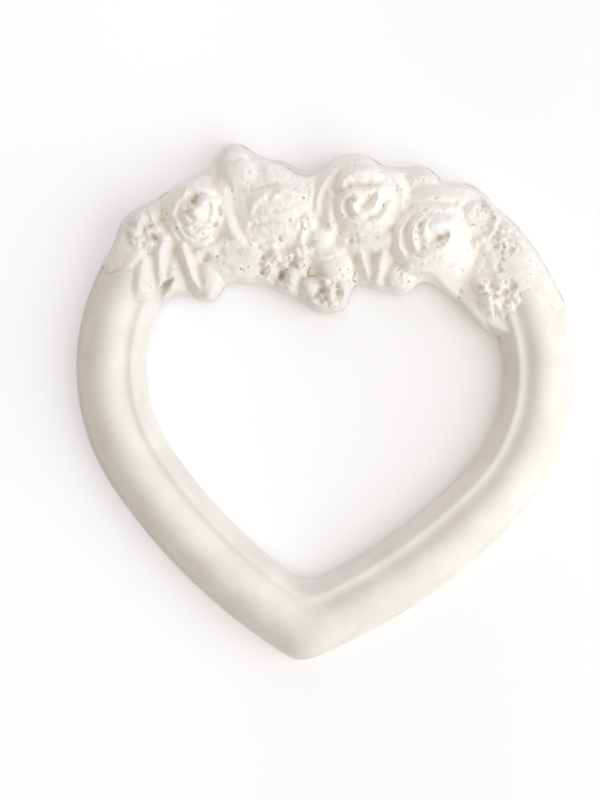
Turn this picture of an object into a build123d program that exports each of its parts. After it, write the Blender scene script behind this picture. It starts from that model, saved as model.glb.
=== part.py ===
from build123d import *
import math
import os

# A heart shaped photo frame cast in plaster: a half-round heart moulding with a flat bead round
# its opening, and a garland of roses, blossoms and leaves across the top.
# The frame lies on its back. X runs across it, Y from the tip to the garland, Z out of its front.
# The origin is on the back plane, in the middle of the frame. Sizes are in millimetres.

os.makedirs("parts", exist_ok=True)

# Heart outline: each side is a lobe arc that runs on into a flatter limb arc
lobe_radius = 56.7
lobe_centre_x = 8.9
lobe_centre_y = 9.7
limb_radius = 152.0
limb_start_angle = 38.8
tip_round = 8.0
opening_end_angle = 64.0
heart_width = 2 * (lobe_centre_x + lobe_radius)

# Moulding, measured inwards from the outer edge
moulding_width = 13.4
moulding_height = 14.0
moulding_end_angle = 33.0
crest_flat_share = 0.03
plate_inset = moulding_width / 3
bead_gap = 0.3
bead_inset = moulding_width + bead_gap
bead_width = 1.7
groove_height = 7.4
bead_height = 9.2
wall_foot_inset = 19.0
inner_tip_round = 5.0
opening_draft_angle = 20.0

# Ground of the garland
ground_height = 8.5
ground_draft_angle = 24.0
ground_overrun = 1.0
garland_end_inset = 15.6
garland_reach = lobe_centre_x + lobe_radius - garland_end_inset
opening_top_share = 0.56
spine_share = 0.84
spine_depth = 9.0
moulding_rise = moulding_height - ground_height

# Rebate in the back, which takes the print and its card
rebate_ledge = 3.0
rebate_depth = 2.0

# Places below are shares of the garland's reach, which is from the frame's axis to the middle of
# the outermost sprigs, measured from the level of the lobes' centres.
# Outline of the ground, from its right end over the top to its left end.
ground_edge_shares = [
    (1.16, 0.56), (1.04, 0.72), (0.96, 0.82), (0.76, 0.98), (0.63, 1.045), (0.51, 1.04), (0.45, 1.105),
    (0.38, 1.105), (0.21, 1.085), (0.12, 1.155), (0.00, 1.14), (-0.11, 1.05), (-0.21, 1.015),
    (-0.34, 1.075), (-0.48, 1.095), (-0.55, 1.155), (-0.62, 1.14), (-0.72, 1.00), (-0.88, 0.89),
    (-0.96, 0.82), (-1.09, 0.75), (-1.15, 0.67), (-1.16, 0.56),
]
# Lobes of the ground that hang into the opening: place and radius
hanging_lobe_shares = [
    (-0.70, 0.53, 0.215), (-0.48, 0.61, 0.19), (-0.24, 0.54, 0.16), (-0.03, 0.44, 0.138),
    (0.21, 0.55, 0.105), (0.35, 0.52, 0.088), (0.52, 0.73, 0.19), (0.73, 0.69, 0.13),
    (0.87, 0.49, 0.095),
]

# Open roses: place, radius, height and turn
rose_radius_share = 0.20
rose_radius = garland_reach * rose_radius_share
rose_over_moulding = 7.5
rose_height = moulding_rise + rose_over_moulding
rose_shares = {
    "rose_1": (-0.74, 0.78, 0.76, 0.90, 0.42),
    "rose_3": (0.11, 0.91, 1.00, 1.00, 0.06),
    "rose_4": (0.49, 0.74, 1.00, 1.00, 0.55),
}
# Rings of petals: place, length, width and height as shares of the rose, and their number
petal_ring_shares = [
    (0.62, 1.26, 0.62, 0.64, 5), (0.36, 0.86, 0.46, 0.85, 4), (0.15, 0.52, 0.36, 1.00, 3),
]
ring_turn_share = 0.13
full_turn = 360.0

# Half-open rose, lying on its side: its petals' place across it, length, width and height
side_rose_length_share = 0.31
side_rose_width_share = 0.30
side_rose_length = garland_reach * side_rose_length_share
side_rose_width = garland_reach * side_rose_width_share
side_rose_over_moulding = 4.0
side_rose_height = moulding_rise + side_rose_over_moulding
side_rose_share = (-0.335, 0.80)
side_rose_turn = 8.0
side_petal_shares = [(0.30, 0.82, 0.42, 0.78), (0.02, 1.00, 0.62, 1.00), (-0.32, 0.90, 0.40, 0.70)]

# Blossoms: place, radius, height and number of petals
blossom_radius_share = 0.12
blossom_radius = garland_reach * blossom_radius_share
blossom_over_moulding = 0.5
blossom_height = moulding_rise + blossom_over_moulding
blossom_shares = {
    "blossom_1": (-1.01, 0.66, 0.80, 1.10, 5),
    "blossom_2": (-0.335, 0.53, 0.70, 0.85, 5),
    "blossom_3": (-0.215, 0.50, 0.76, 0.85, 5),
    "blossom_4": (-0.03, 0.42, 1.00, 1.00, 5),
    "blossom_5": (0.745, 0.85, 0.86, 1.05, 6),
    "blossom_6": (0.87, 0.79, 0.55, 1.00, 5),
    "blossom_7": (0.905, 0.70, 0.55, 1.10, 5),
    "blossom_8": (0.88, 0.49, 0.95, 1.05, 5),
}
petal_edge_shares = [(0, 0), (0.50, -0.36), (0.86, -0.27), (1.0, 0), (0.86, 0.27), (0.50, 0.36)]
boss_radius_share = 0.50
eye_radius_share = 0.28
eye_depth_share = 0.40

# Leaves and loose petals: root, tip, width and height
leaf_width_share = 0.20
leaf_width = garland_reach * leaf_width_share
leaf_over_moulding = 0.5
leaf_height = moulding_rise + leaf_over_moulding
leaf_shares = {
    "leaf_1": (-0.54, 0.79, -0.60, 1.12, 1.35, 0.95),
    "leaf_2": (-0.63, 0.91, -0.52, 0.61, 0.60, 1.10),
    "leaf_3": (-0.38, 0.52, -0.74, 0.54, 1.00, 0.80),
    "leaf_4": (-1.02, 0.57, -1.08, 0.41, 0.50, 1.35),
    "leaf_5": (-0.98, 0.57, -0.99, 0.32, 0.44, 1.20),
    "leaf_6": (-0.91, 0.59, -0.89, 0.33, 0.44, 1.10),
    "leaf_7": (-0.85, 0.53, -0.85, 0.32, 0.56, 0.75),
    "leaf_8": (-0.79, 0.61, -0.66, 0.32, 0.46, 0.90),
    "leaf_9": (-0.66, 0.48, -0.60, 0.31, 0.58, 0.70),
    "leaf_10": (0.36, 0.96, 0.66, 0.95, 0.52, 0.85),
    "leaf_11": (0.30, 1.04, 0.52, 1.06, 0.50, 0.80),
    "leaf_12": (0.13, 0.66, 0.20, 0.44, 0.40, 0.85),
    "leaf_13": (0.25, 0.66, 0.23, 0.44, 0.52, 0.90),
    "leaf_14": (0.79, 0.75, 0.70, 0.55, 0.80, 0.70),
    "leaf_15": (0.92, 0.67, 1.12, 0.64, 0.54, 1.15),
    "leaf_16": (0.92, 0.59, 1.08, 0.56, 0.40, 1.20),
    "petal_1": (-0.19, 0.98, -0.18, 0.79, 0.30, 1.05),
    "petal_2": (-0.05, 1.05, -0.12, 0.80, 0.44, 1.05),
    "petal_3": (-0.05, 0.92, -0.045, 0.73, 0.34, 1.00),
    "petal_4": (-0.15, 0.69, -0.02, 0.69, 0.56, 0.95),
    "petal_5": (0.05, 0.69, 0.27, 0.67, 0.46, 1.00),
    "petal_6": (0.25, 1.06, 0.33, 0.87, 0.46, 1.00),
    "petal_7": (-0.08, 0.60, 0.09, 0.55, 0.52, 0.90),
}
blade_outline_shares = [
    (0, 0), (0.25, -0.375), (0.50, -0.50), (0.75, -0.375), (1, 0), (0.75, 0.375), (0.50, 0.50), (0.25, 0.375),
]
blade_edge_share = 0.45
blade_roof_share = 0.6

# Bud beside the fourth rose
bud_radius_share = 0.082
bud_radius = garland_reach * bud_radius_share
bud_over_moulding = 1.0
bud_height = moulding_rise + bud_over_moulding
bud_place_share = (0.345, 0.52)
bud_sides = 8
bud_slope_angle = 16.0

sprig_reach = 30.0
stand = (Align.CENTER, Align.CENTER, Align.MIN)


def place(x_share, y_share):
    """Turns a place given as shares of the garland's reach into lengths."""
    return x_share * garland_reach, lobe_centre_y + y_share * garland_reach


def heart_side(inset, end_angle):
    """Draws the right side of the heart, drawn in by an inset, from its tip to its lobe."""
    lobe = lobe_radius - inset
    limb = limb_radius - inset
    reach = limb_radius - lobe_radius
    turn = math.radians(limb_start_angle)
    limb_centre = (lobe_centre_x - reach * math.cos(turn), lobe_centre_y + reach * math.sin(turn))
    tip_angle = math.degrees(math.acos(-limb_centre[0] / limb))
    with BuildLine() as side:
        CenterArc(limb_centre, limb, -tip_angle, tip_angle - limb_start_angle)
        CenterArc((lobe_centre_x, lobe_centre_y), lobe, -limb_start_angle, limb_start_angle + end_angle)
    return side.line


def heart_band(inset, width, outer_tip_round, end_angle):
    """Fills a band along the heart that ends square to its lobes."""
    outer = heart_side(inset, end_angle)
    inner = heart_side(inset + width, end_angle)
    with BuildSketch() as band:
        with BuildLine():
            add(outer)
            add(inner)
            Line(outer @ 1, inner @ 1)
            mirror(about=Plane.YZ)
        make_face()
        fillet(vertices().sort_by_distance(outer @ 0)[0], radius=outer_tip_round)
        fillet(vertices().sort_by_distance(inner @ 0)[0], radius=inner_tip_round)
    return band.sketch


def heart_area(inset, tip_radius, end_angle):
    """Fills the heart, drawn in by an inset and cut straight across above an angle of its lobes."""
    side = heart_side(inset, end_angle)
    with BuildSketch() as area:
        with BuildLine():
            add(side)
            mirror(about=Plane.YZ)
            Line(side @ 1, (-(side @ 1).X, (side @ 1).Y))
        make_face()
        fillet(vertices().sort_by(Axis.Y)[0], radius=tip_radius)
    return area.sketch


def blade_outline(length, width):
    """Fills a blade, pointed at both ends, that lies along X from the origin."""
    with BuildSketch() as outline:
        with BuildLine():
            Polyline([(length * along, width * across) for along, across in blade_outline_shares], close=True)
        make_face()
    return outline.sketch


def blade_footprint(root, direction, length, width):
    """Gives the outline of a blade where it lies."""
    with BuildSketch(Plane(root, x_dir=direction)) as footprint:
        add(blade_outline(length, width))
    return footprint.sketch


def blade(root, direction, length, width, height):
    """Makes a pointed blade, folded along its rib, that lies from its root in a direction."""
    lying = Plane(root, x_dir=direction)
    across = Plane(root, x_dir=lying.y_dir, z_dir=lying.x_dir)
    reach = width * blade_roof_share
    eaves = height * (1 - 2 * blade_roof_share * (1 - blade_edge_share))
    with BuildPart() as body:
        with BuildSketch(lying):
            add(blade_outline(length, width))
        extrude(amount=height)
        with BuildSketch(across):
            with BuildLine():
                Polyline((-reach, 0), (reach, 0), (reach, eaves), (0, height), (-reach, eaves), close=True)
            make_face()
        extrude(amount=length, mode=Mode.INTERSECT)
    return body.part


def trim_sprig(footprints):
    """Stops the open sprig at the footprints of its neighbours and at the frame."""
    for footprint in footprints:
        extrude(footprint, amount=sprig_reach, mode=Mode.SUBTRACT)
    add(heart_frame.part, mode=Mode.SUBTRACT)


def disc_at(x, y, radius):
    """Fills a disc on the ground of the garland."""
    with BuildSketch(Plane((x, y, ground_height))) as disc:
        Circle(radius)
    return disc.sketch


# Frame: moulding, bead and the ground of the garland in one casting
with BuildPart() as heart_frame:
    with BuildSketch():
        add(heart_band(0, moulding_width, tip_round, moulding_end_angle))
    extrude(amount=moulding_height)
    crest = faces().sort_by(Axis.Z)[-1].edges().filter_by(GeomType.CIRCLE)
    fillet(crest, radius=moulding_width * (1 - crest_flat_share) / 2)
    with BuildSketch():
        add(heart_band(plate_inset, wall_foot_inset - plate_inset, inner_tip_round, opening_end_angle))
    extrude(amount=groove_height)
    with BuildSketch():
        add(heart_band(bead_inset, bead_width, inner_tip_round, moulding_end_angle))
    extrude(amount=bead_height)
    with BuildSketch(Plane.XY.offset(-ground_overrun)):
        with BuildLine():
            Polyline([place(*shares) for shares in ground_edge_shares], close=True)
        make_face()
    extrude(amount=ground_overrun + ground_height, taper=ground_draft_angle)
    split(bisect_by=Plane.XY, keep=Keep.TOP)
    with BuildSketch() as opening:
        add(heart_area(wall_foot_inset, inner_tip_round, opening_end_angle))
        with Locations(place(0, opening_top_share)):
            Rectangle(heart_width, heart_width, align=(Align.CENTER, Align.MIN), mode=Mode.SUBTRACT)
    extrude(amount=moulding_height, taper=-opening_draft_angle, mode=Mode.SUBTRACT)
    for x_share, y_share, radius_share in hanging_lobe_shares:
        with Locations(place(x_share, y_share)):
            Cylinder(radius_share * garland_reach, ground_height, align=stand)
    with Locations(place(0, opening_top_share)):
        spine_length = 2 * spine_share * garland_reach
        Box(spine_length, spine_depth, ground_height, align=(Align.CENTER, Align.MIN, Align.MIN))
    with BuildSketch() as rebate:
        add(opening.sketch)
        for x_share, y_share, radius_share in hanging_lobe_shares:
            with Locations(place(x_share, y_share)):
                Circle(radius_share * garland_reach, mode=Mode.SUBTRACT)
        offset(amount=rebate_ledge)
    extrude(amount=rebate_depth, mode=Mode.SUBTRACT)
heart_frame.part.label = "heart_frame"
export_step(heart_frame.part, "parts/heart_frame.step")

# Footprints of the sprigs made so far: each later sprig stops at them
footprints = []

# Open roses: rings of folded petals, each across the gaps of the ring outside it
for name, (x_share, y_share, size_share, height_share, turn_share) in rose_shares.items():
    x, y = place(x_share, y_share)
    radius = rose_radius * size_share
    height = rose_height * height_share
    with BuildPart() as rose:
        for ring, (ring_share, length_share, width_share, rise_share, count) in enumerate(petal_ring_shares):
            for petal in range(count):
                angle = math.radians(full_turn * (turn_share + petal / count + ring * ring_turn_share))
                outward = Vector(math.cos(angle), math.sin(angle), 0)
                along = Vector(-outward.Y, outward.X, 0)
                length = radius * length_share
                root = Vector(x, y, ground_height) + outward * radius * ring_share - along * length / 2
                add(blade(root, along, length, radius * width_share, height * rise_share))
        trim_sprig(footprints)
    footprints.append(disc_at(x, y, radius))
    rose.part.label = name
    export_step(rose.part, f"parts/{name}.step")

# Half-open rose, lying with its petals wrapped along it
side_x, side_y = place(*side_rose_share)
lying = Plane((side_x, side_y, ground_height)).rotated((0, 0, side_rose_turn))
side_footprints = []
with BuildPart() as rose_2:
    for across_share, length_share, width_share, rise_share in side_petal_shares:
        length = side_rose_length * length_share
        width = side_rose_width * width_share
        root = lying.from_local_coords((-length / 2, side_rose_width * across_share, 0))
        add(blade(root, lying.x_dir, length, width, side_rose_height * rise_share))
        side_footprints.append(blade_footprint(root, lying.x_dir, length, width))
    trim_sprig(footprints)
footprints += side_footprints
rose_2.part.label = "rose_2"
export_step(rose_2.part, "parts/rose_2.step")

# Blossoms: kite shaped petals, folded along their ribs, about a sunken eye
for name, (x_share, y_share, size_share, height_share, count) in blossom_shares.items():
    x, y = place(x_share, y_share)
    radius = blossom_radius * size_share
    height = blossom_height * height_share
    with BuildPart() as blossom:
        for petal in range(count):
            angle = math.radians(full_turn * petal / count)
            outward = (math.cos(angle), math.sin(angle), 0)
            with BuildSketch(Plane((x, y, ground_height), x_dir=outward)):
                petal_edge = [(radius * along, radius * across) for along, across in petal_edge_shares]
                with BuildLine():
                    Polyline(petal_edge, close=True)
                make_face()
            extrude(amount=height)
        with BuildSketch(Plane((x, y, ground_height))):
            RegularPolygon(radius * boss_radius_share, count)
        extrude(amount=height)
        with BuildSketch(Plane((x, y, ground_height + height * (1 - eye_depth_share)))):
            RegularPolygon(radius * eye_radius_share, count)
        extrude(amount=height, mode=Mode.SUBTRACT)
        trim_sprig(footprints)
    footprints.append(disc_at(x, y, radius))
    blossom.part.label = name
    export_step(blossom.part, f"parts/{name}.step")

# Bud beside the fourth rose
bud_x, bud_y = place(*bud_place_share)
with BuildPart() as bud:
    with BuildSketch(Plane((bud_x, bud_y, ground_height))):
        RegularPolygon(bud_radius, bud_sides)
    extrude(amount=bud_height, taper=bud_slope_angle)
    trim_sprig(footprints)
footprints.append(disc_at(bud_x, bud_y, bud_radius))
bud.part.label = "bud"
export_step(bud.part, "parts/bud.step")

# Leaves and loose petals
for name, (root_x, root_y, tip_x, tip_y, width_share, height_share) in leaf_shares.items():
    root = Vector(*place(root_x, root_y), ground_height)
    tip = Vector(*place(tip_x, tip_y), ground_height)
    length = (tip - root).length
    width = leaf_width * width_share
    with BuildPart() as leaf:
        add(blade(root, tip - root, length, width, leaf_height * height_share))
        trim_sprig(footprints)
    footprints.append(blade_footprint(root, tip - root, length, width))
    leaf.part.label = name
    export_step(leaf.part, f"parts/{name}.step")
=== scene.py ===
import functools
import math

import bmesh
import bpy
import numpy as np
from bpy.props import FloatProperty, FloatVectorProperty, PointerProperty
from bpy.types import Operator, Panel, PropertyGroup
from mathutils import Matrix, Vector


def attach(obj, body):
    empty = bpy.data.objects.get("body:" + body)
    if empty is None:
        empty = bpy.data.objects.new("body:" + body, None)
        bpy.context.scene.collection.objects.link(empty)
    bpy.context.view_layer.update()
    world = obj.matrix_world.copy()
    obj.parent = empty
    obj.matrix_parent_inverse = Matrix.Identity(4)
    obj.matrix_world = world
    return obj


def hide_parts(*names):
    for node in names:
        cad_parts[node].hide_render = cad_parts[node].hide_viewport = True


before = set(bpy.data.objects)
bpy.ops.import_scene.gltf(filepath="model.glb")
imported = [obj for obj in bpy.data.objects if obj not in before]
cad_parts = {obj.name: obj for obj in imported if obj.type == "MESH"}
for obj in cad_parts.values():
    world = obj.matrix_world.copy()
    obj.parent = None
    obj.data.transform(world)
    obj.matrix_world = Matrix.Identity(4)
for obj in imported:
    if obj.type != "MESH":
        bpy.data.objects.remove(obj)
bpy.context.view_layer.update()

bl_info = {
    "name": "Heart Shaped Photo Frame",
    "version": (1, 0, 0),
    "blender": (4, 5, 0),
    "location": "View3D > Sidebar > Heart Frame",
    "description": "A cast plaster heart frame with a garland of roses, blossoms and leaves",
    "category": "Add Mesh",
}

MM = 1000.0

# Outline of the casting round its garland, in millimetres, from the right shoulder over the top
TOP_EDGE = [
    (61.3, 32.0), (59.5, 35.0), (57.5, 38.4), (54.6, 42.6), (52.4, 45.6), (49.8, 48.6), (47.6, 50.8),
    (45, 53.0), (42, 55.0), (39.6, 57.3), (37.4, 59.2), (35, 60.7), (32, 61.6), (28.5, 61.4), (26, 61.4),
    (24.6, 63.0), (22.4, 64.6), (20, 65.0), (17.5, 64.2), (15, 64.0), (11.5, 64.2), (9.6, 64.4),
    (7.6, 65.8), (5.5, 66.7), (2.5, 66.6), (-0.5, 65.8), (-3, 64.4), (-5, 62.6), (-7.2, 61.2), (-9.6, 60.4),
    (-11.8, 60.8), (-14, 62.1), (-17, 63.1), (-20, 63.4), (-22.4, 63.9), (-25, 65.3), (-27, 66.4),
    (-29, 66.7), (-31, 65.9), (-33, 63.5), (-35, 60.6), (-37, 58.1), (-40, 56.4), (-43, 54.8),
    (-44.8, 53.2), (-46.2, 51.2), (-50, 49.3), (-54, 47.0), (-56.6, 44.6), (-57.6, 41.0), (-58.3, 38.0),
    (-59.5, 35.0), (-61.3, 32.0),
]

# Lower edge of the garland, from the left end to the right end
LOW_EDGE = [
    (-50.0, 22.0), (-44, 24.0), (-41, 26.2), (-37.5, 26.2), (-34.5, 25.0), (-31.5, 24.6), (-30, 26.4),
    (-28.4, 30.0), (-25.5, 30.6), (-22, 30.2), (-20, 31.0), (-17.5, 30.6), (-15, 29.6), (-12, 28.5),
    (-9, 28.0), (-7, 26.6), (-5, 25.0), (-2.4, 24.3), (0.6, 24.5), (3.0, 25.6), (4.2, 27.6), (4.8, 31.0),
    (6.0, 33.0), (8.6, 33.0), (10.4, 31.9), (12.4, 31.6), (14.2, 31.6), (16, 30.9), (18.8, 31.0),
    (20.6, 32.4), (22.0, 34.4), (24.1, 35.3), (26.2, 34.8), (28.2, 33.6), (31.0, 31.9), (33.2, 30.7),
    (34.7, 29.0), (36.6, 27.4), (39.0, 25.2), (42.0, 23.4), (45.0, 22.4), (47.6, 22.0),
]

# Moulding's section over the front: distance in from the outer edge and height, in millimetres
MOULDING_SECTION = [
    (0.0, 0.35), (0.05, 0.9), (0.4, 1.6), (0.95, 2.6), (1.35, 4.0), (1.65, 5.6), (2.0, 7.2), (2.5, 8.8),
    (3.2, 10.2), (4.1, 11.5), (5.1, 12.5), (6.1, 13.2), (7.2, 13.65), (8.4, 13.85), (9.6, 13.75),
    (10.7, 13.35), (11.6, 12.65), (12.4, 11.8), (13.1, 11.25), (13.8, 11.1), (14.5, 11.2), (15.1, 11.2),
    (15.7, 10.7), (16.2, 9.7), (16.7, 8.2), (17.2, 6.6), (17.7, 5.0), (18.2, 3.6), (18.6, 2.5),
]

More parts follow.
